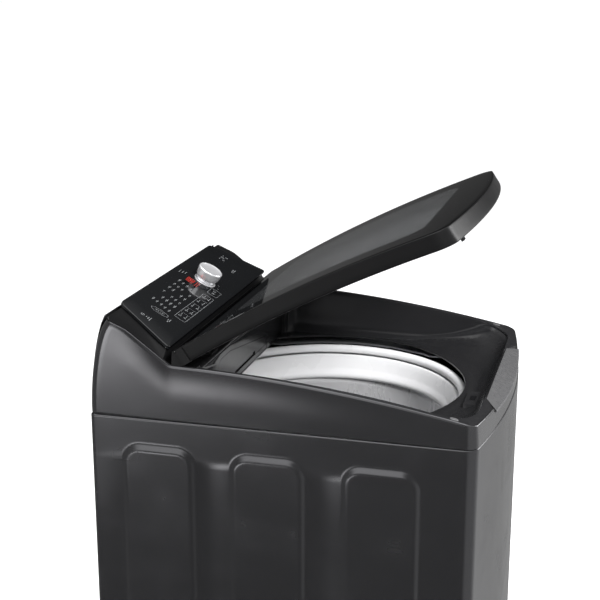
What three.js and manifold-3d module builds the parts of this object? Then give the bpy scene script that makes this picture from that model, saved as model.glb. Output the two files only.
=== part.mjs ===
// Top load washing machine, millimetres, +Z up, -Y is the front, +X is the user's right.
// Origin on the floor, under the middle of the machine.
import * as THREE from 'three';
import { ConvexGeometry } from 'three/addons/geometries/ConvexGeometry.js';
import { mergeVertices } from 'three/addons/utils/BufferGeometryUtils.js';
import Module from 'manifold-3d';

const wasm = await Module();
wasm.setup();

// ---- driving dimensions -------------------------------------------------------------
const WIDTH = 560; // across the flat sides
const DEPTH = 659; // front of the bow to the rear edge
const SEAM_Z = 850; // joint between the cabinet and the top cover
const GAP = 0.4; // assembly gap between fixed parts
const SHEET = 1; // cabinet sheet
const WALL = 3.5; // moulded plastic wall
const BOW = 24.8; // how far the middle of the front stands ahead of its corners
const CORNER_R = 22; // vertical front corners
const FOOT_H = 24; // floor to the base frame
const RIM_H = 92.9; // top cover rim above the seam at the hinge line
const RIM_DROP = 60.9; // fall of the rim over RIM_RUN
const PIVOT_IN = 158.5; // rear edge to the lid hinge axis
const PIVOT_RISE = 13.1; // hinge axis above the rim
const LID_T = 28; // lid thickness
const LID_OPEN = 34.1; // lid opening at rest, degrees
const LID_LIFT = 0.8; // lid clearance above the rim when shut
const GLASS_T = 4;
const PANEL_TILT = 29.63; // control panel slope, degrees
const PANEL_L = 114.7; // control panel, front edge to rear edge
const PANEL_SIDE = 17.1; // machine's side to the panel's front corner
const PANEL_TAPER = 38.7; // how much narrower each side is at the panel's rear edge
const PANEL_T = 5;
const TUB_R = 260; // outer tub, outside
const TUB_T = 3.5;
const TUB_Z0 = 262;
const TUB_DROP = 35; // seam down to the tub's top edge
const RING_IN = 10; // tub wall to the bead of the tub cover
const BASKET_PLAY = 38; // tub wall to the basket wall
const MOUTH_PLAY = 10; // basket wall to the inside of the bead
const BASKET_T = 1;
const BASKET_Z0 = 306;
const BASKET_DROP = 39; // tub's top edge down to the basket's
const PULSATOR_PLAY = 50;
const ROD_IN_X = 42; // suspension rod from the machine's side
const ROD_IN_Y = 93.5; // suspension rod from the front and the rear
const DECK_PLAY = 8; // bead to the edge of the deck
const CHORD_IN = 20; // hinge axis forward to the straight rear edge of the opening
const TROUGH_DROP = 13.9; // rim down to the floor of the hinge trough
const CONSOLE_BACK = 26; // hinge axis back to the front wall of the console housing
const FILTER_Z0 = 430; // lint filters
const FILTER_Z1 = 600;
const SPIN_PULLEY_R = 70;
const MOTOR_PULLEY_R = 24;
const MOTOR_Y = 178;
const PULLEY_Z = 150;
const KNOB_R = 23;
const KNOB_H = 26;
const KNOB_X = 50;
const KNOB_S = 58;
const DISPLAY_X = 8;
const DISPLAY_S = 70;

const HALF_W = WIDTH / 2;
const HALF_D = DEPTH / 2;
const REAR_TOP_Y = HALF_D - 38.7;
const PIVOT_Y = HALF_D - PIVOT_IN;
const PIVOT_Z = SEAM_Z + RIM_H + PIVOT_RISE;
const RIM_RUN = PIVOT_Y + HALF_D - 0.5;
const LID_TOP_Z = PIVOT_Z - PIVOT_RISE + LID_LIFT + LID_T + 0.3; // top of the lid's rear edge
const PANEL_Y = PIVOT_Y + 22;
const PANEL_HW = HALF_W - PANEL_SIDE;
const PANEL_HW_REAR = PANEL_HW - PANEL_TAPER;
const TUB_Z1 = SEAM_Z - TUB_DROP;
const RING_R = TUB_R - RING_IN;
const BASKET_R = TUB_R - BASKET_PLAY;
const MOUTH_R = BASKET_R + MOUTH_PLAY;
const BASKET_Z1 = TUB_Z1 - BASKET_DROP;
const PULSATOR_R = BASKET_R - PULSATOR_PLAY;
const ROD_X = HALF_W - ROD_IN_X;
const ROD_Y = HALF_D - ROD_IN_Y;
const DECK_R = RING_R + DECK_PLAY;
const CHORD_Y = PIVOT_Y - CHORD_IN;
const SHELF_Z = SEAM_Z + RIM_H - TROUGH_DROP;
const CONSOLE_Y = PIVOT_Y + CONSOLE_BACK;
const PANEL_Z = PIVOT_Z + 13.7;
const EDGE_Y = PIVOT_Y + 18; // foot of the console side slope
const EDGE_SLOPE = 0.766;
const DEG = Math.PI / 180;

// ---- materials ----------------------------------------------------------------------
const LOOK = {
  steel_paint: ['#39393b', 0.45, 0.5],
  cover_paint: ['#48484a', 0.4, 0.4],
  black_gloss: ['#17181a', 0.12, 0.0],
  black_satin: ['#232325', 0.45, 0.0],
  smoked_glass: ['#2b2d2f', 0.08, 0.0],
  chrome: ['#d8d8da', 0.12, 1.0],
  stainless: ['#c4c4c7', 0.28, 1.0],
  light_plastic: ['#dcdcdc', 0.35, 0.0],
  grey_plastic: ['#8d8d8f', 0.5, 0.0],
  rubber: ['#1a1a1a', 0.8, 0.0],
  zinc: ['#a7a9ab', 0.4, 0.9],
  board: ['#2c5a3a', 0.6, 0.0],
  led: ['#b03024', 0.3, 0.0],
};

// ---- solid helpers ------------------------------------------------------------------
function signedVolume(geometry) {
  const p = geometry.attributes.position;
  const ix = geometry.index;
  const a = new THREE.Vector3();
  const b = new THREE.Vector3();
  const c = new THREE.Vector3();
  let sum = 0;
  for (let i = 0; i < ix.count; i += 3) {
    a.fromBufferAttribute(p, ix.getX(i));
    b.fromBufferAttribute(p, ix.getX(i + 1));
    c.fromBufferAttribute(p, ix.getX(i + 2));
    sum += a.dot(b.cross(c));
  }
  return sum;
}

function solid(source) {
  const bare = source.clone();
  bare.deleteAttribute('normal');
  bare.deleteAttribute('uv');
  const merged = mergeVertices(bare, 1e-4);
  const tri = Uint32Array.from(merged.index.array);
  if (signedVolume(merged) < 0) {
    for (let i = 0; i < tri.length; i += 3) {
      const t = tri[i + 1];
      tri[i + 1] = tri[i + 2];
      tri[i + 2] = t;
    }
  }
  const verts = Float32Array.from(merged.attributes.position.array);
  const mesh = new wasm.Mesh({ numProp: 3, vertProperties: verts, triVerts: tri });
  mesh.merge();
  return new wasm.Manifold(mesh);
}

function toGeometry(manifold) {
  const mesh = manifold.getMesh();
  const geometry = new THREE.BufferGeometry();
  geometry.setAttribute('position', new THREE.BufferAttribute(Float32Array.from(mesh.vertProperties), 3));
  geometry.setIndex(new THREE.BufferAttribute(Uint32Array.from(mesh.triVerts), 1));
  return geometry;
}

function shapeOf(points) {
  return new THREE.Shape(points.map(([x, y]) => new THREE.Vector2(x, y)));
}

function extrude(points, depth) {
  return new THREE.ExtrudeGeometry(shapeOf(points), { depth, bevelEnabled: false, curveSegments: 8 });
}

// prisms: an outline in two axes pushed along the third
function prismZ(points, z0, z1) {
  return solid(extrude(points, z1 - z0).translate(0, 0, z0));
}

function prismX(points, x0, x1) {
  const basis = new THREE.Matrix4().makeBasis(
    new THREE.Vector3(0, 1, 0), new THREE.Vector3(0, 0, 1), new THREE.Vector3(1, 0, 0));
  return solid(extrude(points, x1 - x0).applyMatrix4(basis).translate(x0, 0, 0));
}

function prismY(points, y0, y1) {
  const basis = new THREE.Matrix4().makeBasis(
    new THREE.Vector3(1, 0, 0), new THREE.Vector3(0, 0, 1), new THREE.Vector3(0, -1, 0));
  return solid(extrude(points, y1 - y0).applyMatrix4(basis).translate(0, y1, 0));
}

function box(x0, x1, y0, y1, z0, z1) {
  const geometry = new THREE.BoxGeometry(x1 - x0, y1 - y0, z1 - z0);
  return solid(geometry.translate((x0 + x1) / 2, (y0 + y1) / 2, (z0 + z1) / 2));
}

// a ring or disc about a vertical axis; the profile is a closed loop of [radius, z]
function turned(profile, segments, x = 0, y = 0) {
  const loop = profile.map(([r, z]) => new THREE.Vector2(r, z));
  const touchesAxis = profile.some(([r]) => r === 0);
  if (!touchesAxis) {
    loop.push(loop[0].clone());
  }
  return solid(new THREE.LatheGeometry(loop, segments).rotateX(Math.PI / 2).translate(x, y, 0));
}

function rod(r, z0, z1, x, y, segments = 14) {
  return turned([[0, z0], [r, z0], [r, z1], [0, z1]], segments, x, y);
}

function tube(r0, r1, z0, z1, x, y, segments = 16) {
  return turned([[r0, z0], [r1, z0], [r1, z1], [r0, z1]], segments, x, y);
}

function barX(r, x0, x1, y, z, segments = 12) {
  const geometry = new THREE.CylinderGeometry(r, r, x1 - x0, segments).rotateZ(Math.PI / 2);
  return solid(geometry.translate((x0 + x1) / 2, y, z));
}

function barY(r, y0, y1, x, z, segments = 14) {
  const geometry = new THREE.CylinderGeometry(r, r, y1 - y0, segments);
  return solid(geometry.translate(x, (y0 + y1) / 2, z));
}

function hull(points) {
  return solid(new ConvexGeometry(points.map(([x, y, z]) => new THREE.Vector3(x, y, z))));
}

function join(list) {
  return list.reduce((a, b) => a.add(b));
}

function mirrored(manifold) {
  return manifold.mirror([1, 0, 0]);
}

function turn(manifold, degrees, y, z) {
  return manifold.translate([0, -y, -z]).rotate([degrees, 0, 0]).translate([0, y, z]);
}

// ---- outlines -----------------------------------------------------------------------
function arc(cx, cy, r, from, to, steps) {
  const out = [];
  for (let i = 0; i <= steps; i += 1) {
    const a = (from + ((to - from) * i) / steps) * DEG;
    out.push([cx + r * Math.cos(a), cy + r * Math.sin(a)]);
  }
  return out;
}

function circle(cx, cy, r, steps) {
  return arc(cx, cy, r, 0, 360 - 360 / steps, steps - 1);
}

function roundedBox(x0, x1, y0, y1, r, steps = 4) {
  return [
    ...arc(x1 - r, y0 + r, r, -90, 0, steps),
    ...arc(x1 - r, y1 - r, r, 0, 90, steps),
    ...arc(x0 + r, y1 - r, r, 90, 180, steps),
    ...arc(x0 + r, y0 + r, r, 180, 270, steps),
  ];
}

// plan of the machine: straight sides and rear, bowed front, inset by `off`
function plan(off, corner = CORNER_R, rearCorner = 8) {
  const reach = HALF_W - CORNER_R + 7;
  const bowR = (reach * reach + BOW * BOW) / (2 * BOW);
  const bowY = -HALF_D + bowR;
  const cx = HALF_W - corner;
  const cy = bowY - Math.sqrt((bowR - corner) ** 2 - cx * cx);
  const lean = Math.asin(cx / (bowR - corner)) / DEG;
  const r = Math.max(corner - off, 1);
  const rr = Math.max(rearCorner - off, 1);
  const hw = HALF_W - off;
  const rear = HALF_D - off;
  return [
    ...arc(0, bowY, bowR - off, 270 - lean, 270 + lean, 12),
    ...arc(cx, cy, r, 270 + lean, 360, 5).slice(1),
    ...arc(hw - rr, rear - rr, rr, 0, 90, 2),
    ...arc(-hw + rr, rear - rr, rr, 90, 180, 2),
    ...arc(-cx, cy, r, 180, 270 - lean, 5).slice(0, -1),
  ];
}

// height of the top cover's rim
function rimZ(y) {
  const u = (PIVOT_Y + 3 - y) / RIM_RUN;
  return SEAM_Z + RIM_H - RIM_DROP * (0.195 * u + 0.805 * u * u);
}

function edgeZ(y) {
  return SEAM_Z + RIM_H + 0.3 + (y - EDGE_Y) * EDGE_SLOPE;
}

function rimPoints(y0, y1, lift, steps) {
  const out = [];
  for (let i = 0; i <= steps; i += 1) {
    const y = y0 + ((y1 - y0) * i) / steps;
    out.push([y, rimZ(y) + lift]);
  }
  return out;
}

// side profile of the top cover, offset inwards by `off`
function coverProfile(off, bottom) {
  const top = edgeZ(REAR_TOP_Y);
  const z = (f) => SEAM_Z + f * (top - SEAM_Z);
  return [
    [HALF_D - off, bottom],
    [HALF_D - off, z(0.12)],
    [HALF_D - 2.6 - off, z(0.33)],
    [HALF_D - 10 - off, z(0.61)],
    [HALF_D - 18 - off, z(0.78)],
    [HALF_D - 27 - off, z(0.91) - off * 0.5],
    [REAR_TOP_Y - off * 0.3, top - off * 1.2],
    [EDGE_Y, edgeZ(EDGE_Y) - off],
    ...rimPoints(-HALF_D + off, PIVOT_Y + 3, -off, 9).reverse(),
    [-HALF_D + off, bottom],
  ];
}

// one level of the loading recess: rounded at the front, square at the rear
function recessLevel(hw, front, r, rear, z) {
  return [
    ...arc(hw - r, front + r, r, -90, 0, 7),
    ...arc(hw - 24, rear - 24, 24, 0, 90, 3),
    ...arc(-hw + 24, rear - 24, 24, 90, 180, 3),
    ...arc(-hw + r, front + r, r, 180, 270, 7),
  ].map(([x, y]) => [x, y, z]);
}

function recess(off) {
  const side = HALF_W - 13 + off;
  const front = -HALF_D + 30 - off;
  const rear = CHORD_Y + off;
  const z = SEAM_Z + 1 - off;
  return hull([
    ...recessLevel(side, front, 52 + off, rear, z + 190),
    ...recessLevel(side - 0.5, front + 2, 60 + off, rear, z + 48),
    ...recessLevel(side - 2, front + 9, 92 + off, rear, z + 26),
    ...recessLevel(side - 4, front + 20, 150 + off, rear, z + 10),
    ...recessLevel(DECK_R + 1 + off, front + 36, 214 + off, rear, z),
  ]);
}

function deckHole(r, rear, z0, z1) {
  const rim = rod(r, z0, z1, 0, 0, 56);
  return rim.intersect(box(-r - 1, r + 1, -r - 1, rear, z0 - 1, z1 + 1));
}

// ---- control panel frame: s runs up the slope, n stands off it -----------------------
function onPanel(manifold, x, s, lift = 0) {
  const t = PANEL_TILT;
  const y = PANEL_Y + s * Math.cos(t * DEG) - lift * Math.sin(t * DEG);
  const z = PANEL_Z + s * Math.sin(t * DEG) + lift * Math.cos(t * DEG);
  return manifold.rotate([t, 0, 0]).translate([x, y, z]);
}

function panelPoint(x, s, lift) {
  const a = PANEL_TILT * DEG;
  return [x, PANEL_Y + s * Math.cos(a) - lift * Math.sin(a), PANEL_Z + s * Math.sin(a) + lift * Math.cos(a)];
}

// ---- cabinet ------------------------------------------------------------------------
const WRAP_Z0 = FOOT_H + 16;
const WRAP_Z1 = SEAM_Z - GAP;
const PAD_W = 122;
const PAD_PITCH = 182;
const PAD_Y = 11; // middle of the middle pad
const PAD_Z0 = 110;
const PAD_Z1 = SEAM_Z - 42;
const PAD_RISE = 4;
const PAD_SLOPE = 9;

function pad(y, x) {
  const foot = roundedBox(y - PAD_W / 2, y + PAD_W / 2, PAD_Z0, PAD_Z1, 25, 2);
  const top = roundedBox(
    y - PAD_W / 2 + PAD_SLOPE, y + PAD_W / 2 - PAD_SLOPE, PAD_Z0 + PAD_SLOPE, PAD_Z1 - PAD_SLOPE, 17, 2);
  return hull([
    ...foot.map(([a, b]) => [x - 3, a, b]),
    ...foot.map(([a, b]) => [x, a, b]),
    ...top.map(([a, b]) => [x + PAD_RISE, a, b]),
  ]);
}

function cabinetWrap() {
  let outside = prismZ(plan(0), WRAP_Z0, WRAP_Z1);
  let inside = prismZ(plan(SHEET), WRAP_Z0 - 1, WRAP_Z1 + 1);
  for (const k of [-1, 0, 1]) {
    const y = PAD_Y + k * PAD_PITCH;
    const out = pad(y, HALF_W);
    const hollow = pad(y, HALF_W - SHEET);
    outside = outside.add(out).add(mirrored(out));
    inside = inside.add(hollow).add(mirrored(hollow));
  }
  const lip = HALF_W - 16;
  const back = box(-lip, lip, HALF_D - 40, HALF_D + 5, WRAP_Z0 - 1, WRAP_Z1 + 1);
  return outside.subtract(inside).subtract(back);
}

function rearPanel() {
  const y1 = HALF_D - SHEET - GAP;
  const hw = HALF_W - SHEET - GAP - 6;
  let panel = box(-hw, hw, y1 - SHEET, y1, WRAP_Z0 + 4, WRAP_Z1 - 4);
  for (let i = 0; i < 2; i += 1) {
    const z = 320 + i * 240;
    const rib = hull([
      ...roundedBox(-190, 190, z - 30, z + 30, 20, 2).map(([x, c]) => [x, y1 - SHEET + 0.1, c]),
      ...roundedBox(-184, 184, z - 24, z + 24, 14, 2).map(([x, c]) => [x, y1 - 5.5, c]),
    ]);
    const dent = hull([
      ...roundedBox(-188, 188, z - 28, z + 28, 18, 2).map(([x, c]) => [x, y1 + 0.1, c]),
      ...roundedBox(-182, 182, z - 22, z + 22, 12, 2).map(([x, c]) => [x, y1 - 5.5 + SHEET, c]),
    ]);
    panel = panel.add(rib).subtract(dent);
  }
  panel = panel.subtract(barY(15.4, y1 - 10, y1 + 10, -185, 130));
  return panel.subtract(barY(9.4, y1 - 10, y1 + 10, 190, 130));
}

function baseFrame() {
  const skirt = prismZ(plan(1), FOOT_H, WRAP_Z0 - GAP);
  const curb = prismZ(plan(SHEET + 4), WRAP_Z0 - GAP, WRAP_Z0 + 26);
  const open = prismZ(roundedBox(-HALF_W + 74, HALF_W - 74, -HALF_D + 114.5, HALF_D - 91.5, 60, 3), FOOT_H - 1, WRAP_Z0 + 30);
  let frame = skirt.add(curb).subtract(open);
  for (const [x, y] of footPlaces()) {
    frame = frame.subtract(rod(6.5, FOOT_H - 1, WRAP_Z0 + 30, x, y, 16));
  }
  return frame;
}

function footPlaces() {
  return [[-HALF_W + 42, -HALF_D + 62], [HALF_W - 42, -HALF_D + 62],
    [-HALF_W + 42, HALF_D - 48], [HALF_W - 42, HALF_D - 48]];
}

function foot(x, y) {
  return turned([[0, 0], [22, 0], [24, 3], [24, 9], [18, 14], [11, 15], [11, FOOT_H - 1], [6, FOOT_H - 1],
    [6, WRAP_Z0 + 34], [0, WRAP_Z0 + 34]], 12, x, y);
}

function topFrame() {
  const z1 = SEAM_Z - 14;
  const outer = prismZ(plan(SHEET + GAP), z1 - 3, z1);
  const tubWay = rod(TUB_R + 5, z1 - 11, z1 + 1, 0, 0, 24);
  const square = prismZ(roundedBox(-ROD_X + 20, ROD_X - 20, -HALF_D + 62, HALF_D - 42, 30, 2), z1 - 11, z1 + 1);
  const back = box(-HALF_W, HALF_W, HALF_D - 2 * SHEET - 2 * GAP, HALF_D, z1 - 11, z1 + 1);
  let frame = outer.subtract(tubWay).subtract(square).subtract(back);
  for (const [x, y] of rodPlaces()) {
    frame = frame.subtract(rod(7, z1 - 20, z1 + 5, x, y, 16));
  }
  return frame;
}

function rodPlaces() {
  return [[-ROD_X, -ROD_Y], [ROD_X, -ROD_Y], [-ROD_X, ROD_Y], [ROD_X, ROD_Y]];
}

// ---- top cover ----------------------------------------------------------------------
const COVER_Z0 = SEAM_Z + GAP;
const TROUGH_HW = HALF_W - WALL - 0.3;

function trough(off) {
  const z0 = SHELF_Z - off;
  return box(-TROUGH_HW - off, TROUGH_HW + off, CHORD_Y - 6 - off, CONSOLE_Y + off, z0, z0 + 200);
}

function scoopCut(off) {
  const inner = -HALF_D + 31 + off;
  const rise = rimZ(-HALF_D + 31);
  return hull([
    [-140 - off, inner, rise + 20], [140 + off, inner, rise + 20],
    [-140 - off, inner, rise - 3 - off], [140 + off, inner, rise - 3 - off],
    [-196 - off, -HALF_D - 6, rise + 20], [196 + off, -HALF_D - 6, rise + 20],
    [-196 - off, -HALF_D - 6, rise - 20 - off], [196 + off, -HALF_D - 6, rise - 20 - off],
  ]);
}

function consolePocket() {
  const y0 = CONSOLE_Y - 0.1;
  const y1 = REAR_TOP_Y + 1;
  const shape = [[y0, SHELF_Z], [y0 + 40, SHELF_Z], [y1, edgeZ(y1) - 26], [y1, edgeZ(y1) + 60], [y0, edgeZ(y0) + 60]];
  return prismX(shape, -TROUGH_HW, TROUGH_HW);
}

const LOCK_X = -62;
const LOCK_Y = -HALF_D + 62;

function topCover() {
  const body = prismX(coverProfile(0, COVER_Z0), -HALF_W, HALF_W).intersect(prismZ(plan(0), COVER_Z0, SEAM_Z + 400));
  const hollow = prismX(coverProfile(WALL, COVER_Z0 - 1), -HALF_W, HALF_W)
    .intersect(prismZ(plan(WALL), COVER_Z0 - 1, SEAM_Z + 400))
    .subtract(recess(WALL))
    .subtract(trough(WALL))
    .subtract(scoopCut(WALL));
  let cover = body.subtract(hollow).subtract(recess(0)).subtract(trough(0)).subtract(scoopCut(0));
  cover = cover.subtract(consolePocket());
  cover = cover.subtract(deckHole(DECK_R, CHORD_Y + 0.01, SEAM_Z - 10, SEAM_Z + 30));
  cover = cover.subtract(prismY(drawerOutline(GAP), CHORD_Y - 2, CHORD_Y + 40));
  cover = cover.subtract(box(LOCK_X - 34.4, LOCK_X + 34.4, LOCK_Y - 12.4, LOCK_Y + 12.4, SEAM_Z - 6, SEAM_Z + 20));
  cover = cover.subtract(box(-234, 234, HALF_D - 30, HALF_D + 2, SEAM_Z + 22, SEAM_Z + 74));
  for (const x of [-BUMPER_X, BUMPER_X]) {
    const z = rimZ(BUMPER_Y);
    cover = cover.subtract(rod(3.2, z - 40, z + 20, x, BUMPER_Y, 12)).subtract(rod(4.4, z - 2, z + 20, x, BUMPER_Y, 12));
  }
  return cover;
}

const BUMPER_X = HALF_W - 16;
const BUMPER_Y = -HALF_D + 64;

function bumper(x) {
  const z = rimZ(BUMPER_Y);
  const y0 = BUMPER_Y - 8;
  const y1 = BUMPER_Y + 8;
  const below = prismX([[y0, z - 20], [y1, z - 20], ...rimPoints(y0, y1, LID_LIFT / 2, 4).reverse()], x - 8, x + 8);
  const head = rod(4, z - 1.6, z + 6, x, BUMPER_Y, 12).intersect(below);
  return head.add(rod(2.9, z - 14, z - 1.4, x, BUMPER_Y, 12));
}

function scoopInsert() {
  const skin = scoopCut(-0.4).subtract(scoopCut(-0.4).translate([0, 0, 3]));
  return skin.intersect(prismZ(plan(0.3), SEAM_Z, SEAM_Z + 300)).intersect(scoopCut(-0.4));
}

function rearValvePlate() {
  const y0 = HALF_D - 14;
  let plate = box(-240, 240, y0, y0 + 3, SEAM_Z + 16, SEAM_Z + 80);
  plate = plate.intersect(prismX(coverProfile(WALL + GAP, COVER_Z0), -HALF_W, HALF_W));
  for (const x of VALVE_X) {
    plate = plate.subtract(barY(12.4, y0 - 5, y0 + 8, x, SEAM_Z + 48));
  }
  return plate;
}

const VALVE_X = [170, 214];

function inletValve() {
  const y0 = HALF_D - 14;
  const z = SEAM_Z + 48;
  let valve = box(150, 234, y0 - 46, y0 - 4, z - 16, z + 20);
  for (const x of VALVE_X) {
    valve = valve.add(barY(12, y0 - 6, y0 + 12, x, z));
    valve = valve.subtract(barY(8, y0 - 20, y0 + 13, x, z));
  }
  return valve;
}

// ---- detergent drawer ---------------------------------------------------------------
// outline of the dispenser mouth, in X and Z: its top edge falls towards the right
function drawerOutline(off) {
  const x0 = -160 - off;
  const x1 = 134 + off;
  const z0 = SEAM_Z + 4 - off;
  const z1 = SEAM_Z + 71 + off;
  const r = 30 + off;
  return [
    [x0, z0], [x1, z0], [x1, z1 - 40],
    [x1 - 6, z1 - 33],
    [-84, z1],
    ...arc(x0 + r, z1 - r, r, 90, 180, 5),
  ];
}

const DRAWER_Y1 = CHORD_Y + 126;

function dispenserHousing() {
  const shell = prismY(drawerOutline(0), CHORD_Y + 0.5, DRAWER_Y1 + 6);
  const bay = prismY(drawerOutline(-8), CHORD_Y - 2, DRAWER_Y1 + 2);
  return shell.subtract(bay);
}

function detergentDrawer() {
  const face = prismY(drawerOutline(-8.8), CHORD_Y + 0.5, CHORD_Y + 6);
  const z0 = SEAM_Z + 13.5;
  const tray = box(-148, 108, CHORD_Y + 5, DRAWER_Y1, z0, z0 + 16.5);
  let drawer = face.add(tray);
  drawer = drawer.subtract(box(-145, -20, CHORD_Y + 9, DRAWER_Y1 - 3, z0 + 3, z0 + 60));
  drawer = drawer.subtract(box(-17, 105, CHORD_Y + 9, DRAWER_Y1 - 3, z0 + 3, z0 + 60));
  const grip = prismX(
    [[CHORD_Y - 1, z0 - 8], [CHORD_Y + 3, z0 - 8], [CHORD_Y + 3, z0 + 4], [CHORD_Y - 1, z0 + 8]], -60, 60);
  return drawer.subtract(grip);
}

function softenerCap() {
  const z0 = SEAM_Z + 16.8;
  const base = box(40, 104, CHORD_Y + 40, DRAWER_Y1 - 3.4, z0 + 10.6, z0 + 13.2);
  return base.add(rod(9, z0 + 1, z0 + 11, 72, CHORD_Y + 80, 12));
}

// ---- control console ----------------------------------------------------------------
function panelOutline(off) {
  const r = 16 + off;
  const lean = Math.atan((PANEL_HW - PANEL_HW_REAR) / PANEL_L) / DEG;
  const hw = PANEL_HW + off;
  const rear = PANEL_HW_REAR + off;
  return [
    ...arc(hw - 5, 5 - off, 5, -90, lean, 3),
    ...arc(rear - r + 2.5, PANEL_L + off - r, r, lean, 90, 5),
    ...arc(-rear + r - 2.5, PANEL_L + off - r, r, 90, 180 - lean, 5),
    ...arc(-hw + 5, 5 - off, 5, 180 - lean, 270, 3),
  ];
}

function fascia() {
  const plate = prismZ(panelOutline(0), -PANEL_T, 0);
  const hole = rod(5, -PANEL_T - 1, 1, KNOB_X, KNOB_S, 16);
  const window = box(DISPLAY_X - 20.3, DISPLAY_X + 14.3, DISPLAY_S - 12.3, DISPLAY_S + 12.3, -PANEL_T - 1, 1);
  return onPanel(plate.subtract(hole).subtract(window), 0, 0);
}

function displayWindow() {
  return onPanel(box(DISPLAY_X - 20, DISPLAY_X + 14, DISPLAY_S - 12, DISPLAY_S + 12, -PANEL_T, 0), 0, 0);
}

function consoleHousing() {
  const under = -PANEL_T - GAP;
  const hw = HALF_W - 0.2;
  const y0 = CONSOLE_Y + GAP;
  const y1 = REAR_TOP_Y - 1;
  const cap = hull([
    [-hw, y0, edgeZ(y0) + GAP], [hw, y0, edgeZ(y0) + GAP],
    [-hw, y1, edgeZ(y1) + GAP], [hw, y1, edgeZ(y1) + GAP],
    panelPoint(-PANEL_HW + 6, 7, under), panelPoint(PANEL_HW - 6, 7, under),
    panelPoint(-PANEL_HW_REAR + 4, PANEL_L - 5, under), panelPoint(PANEL_HW_REAR - 4, PANEL_L - 5, under),
  ]);
  const plug = prismX(
    [[y0, SHELF_Z + GAP], [y0 + 38, SHELF_Z + GAP], [y1, edgeZ(y1) - 24], [y1, edgeZ(y1) + GAP + 0.01],
      [y0, edgeZ(y0) + GAP + 0.01]], -TROUGH_HW + GAP, TROUGH_HW - GAP);
  const slope = PANEL_TILT * DEG;
  const roof = (y) => PANEL_Z + (y - PANEL_Y) * Math.tan(slope) - 11;
  const cavity = prismX(
    [[y0 + 4, SHELF_Z - 5], [y0 + 4, roof(y0 + 4)], [y1 - 30, roof(y1 - 30)], [y1 - 4, roof(y1 - 30)],
      [y1 - 4, SHELF_Z - 5]], -216, 216);
  const shaft = onPanel(rod(8, -30, 0, 0, 0, 16), KNOB_X, KNOB_S);
  const window = onPanel(box(DISPLAY_X - 22, DISPLAY_X + 16, DISPLAY_S - 14, DISPLAY_S + 14, -30, 0), 0, 0);
  const seat = onPanel(prismZ(panelOutline(GAP), under, 60), 0, 0);
  return cap.add(plug).subtract(seat).subtract(cavity).subtract(shaft).subtract(window);
}

// circuit board with its display block and the knob's encoder soldered on
function controlBoard() {
  const board = box(-140, 74, 36, 88, -26, -24.4);
  const display = box(DISPLAY_X - 18, DISPLAY_X + 12, DISPLAY_S - 10, DISPLAY_S + 10, -25, -PANEL_T - GAP);
  const encoder = box(KNOB_X - 10, KNOB_X + 10, KNOB_S - 10, KNOB_S + 10, -25, -14);
  return onPanel(board.add(display).add(encoder), 0, 0);
}

function knob() {
  const h = KNOB_H;
  const r = KNOB_R;
  const body = turned([[0, -10], [4, -10], [4, 1.6], [r - 6, 1.6], [r - 5.4, 8], [r - 3.2, h - 6], [r, h - 3],
    [r - 0.6, h - 0.6], [r - 2, h], [r - 4.5, h - 1], [0, h - 1.6]], 24);
  return onPanel(body, KNOB_X, KNOB_S);
}

function knobRing() {
  return onPanel(turned([[7, 0.3], [21, 0.3], [20.4, 1.2], [7, 1.2]], 32), KNOB_X, KNOB_S);
}

// ---- lid ----------------------------------------------------------------------------
const HINGE_X = 150;
const LID_REAR = PIVOT_Y + 21;

// lid cross-section when shut, from `lo` to `hi` above the rim
function lidProfile(lo, hi, front) {
  const bottom = rimPoints(front, PIVOT_Y - 12, lo, 9);
  const top = rimPoints(front, PIVOT_Y - 12, hi, 9).reverse();
  return [...bottom, [PIVOT_Y + 19, PIVOT_Z - 13.2 + 0.8], [LID_REAR, PIVOT_Z - 3], [PIVOT_Y + 6, LID_TOP_Z],
    ...top];
}

function lidSolid() {
  const slab = prismX(lidProfile(LID_LIFT, LID_LIFT + LID_T, -HALF_D - 2), -HALF_W, HALF_W);
  const outline = prismZ(plan(0, 34), SEAM_Z - 50, SEAM_Z + 300);
  const shoulder = box(HALF_W - WALL - 0.9, HALF_W + 5, PIVOT_Y - 1, LID_REAR + 5, PIVOT_Z - 40, PIVOT_Z + 12);
  return slab.intersect(outline).subtract(shoulder).subtract(mirrored(shoulder));
}

function glassSolid(off, under) {
  const y1 = PIVOT_Y + 2 + off;
  const points = [
    ...rimPoints(-HALF_D - 2, PIVOT_Y - 12, LID_LIFT + LID_T - GLASS_T - under, 9),
    [y1, LID_TOP_Z - GLASS_T - under],
    [y1, PIVOT_Z + 40],
    [-HALF_D - 2, PIVOT_Z + 40],
  ];
  return prismX(points, -HALF_W, HALF_W).intersect(prismZ(plan(1.6 - off, 34), SEAM_Z - 50, SEAM_Z + 300));
}

function opened(manifold) {
  return turn(manifold, -LID_OPEN, PIVOT_Y, PIVOT_Z);
}

function lidFrame() {
  const pocket = prismX([
    ...rimPoints(-HALF_D + 9, PIVOT_Y - 40, LID_LIFT + 4, 8),
    [PIVOT_Y - 40, PIVOT_Z + 40], [-HALF_D + 9, PIVOT_Z + 40],
  ], -HALF_W, HALF_W).intersect(prismZ(plan(7, 34), SEAM_Z - 50, SEAM_Z + 300));
  const window = prismZ(roundedBox(-205, 205, -HALF_D + 74, PIVOT_Y - 84, 40), SEAM_Z - 50, SEAM_Z + 300);
  let frame = lidSolid().subtract(glassSolid(0.3, 0.3)).subtract(pocket).subtract(window);
  const notch = box(HINGE_X - 7.5, HINGE_X + 7.5, PIVOT_Y - 9, LID_REAR + 9, PIVOT_Z - 30, PIVOT_Z + 7.5);
  const bore = barX(3.3, HINGE_X - 18, HINGE_X + 18, PIVOT_Y, PIVOT_Z);
  frame = frame.subtract(notch).subtract(mirrored(notch)).subtract(bore).subtract(mirrored(bore));
  return opened(frame);
}

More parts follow.
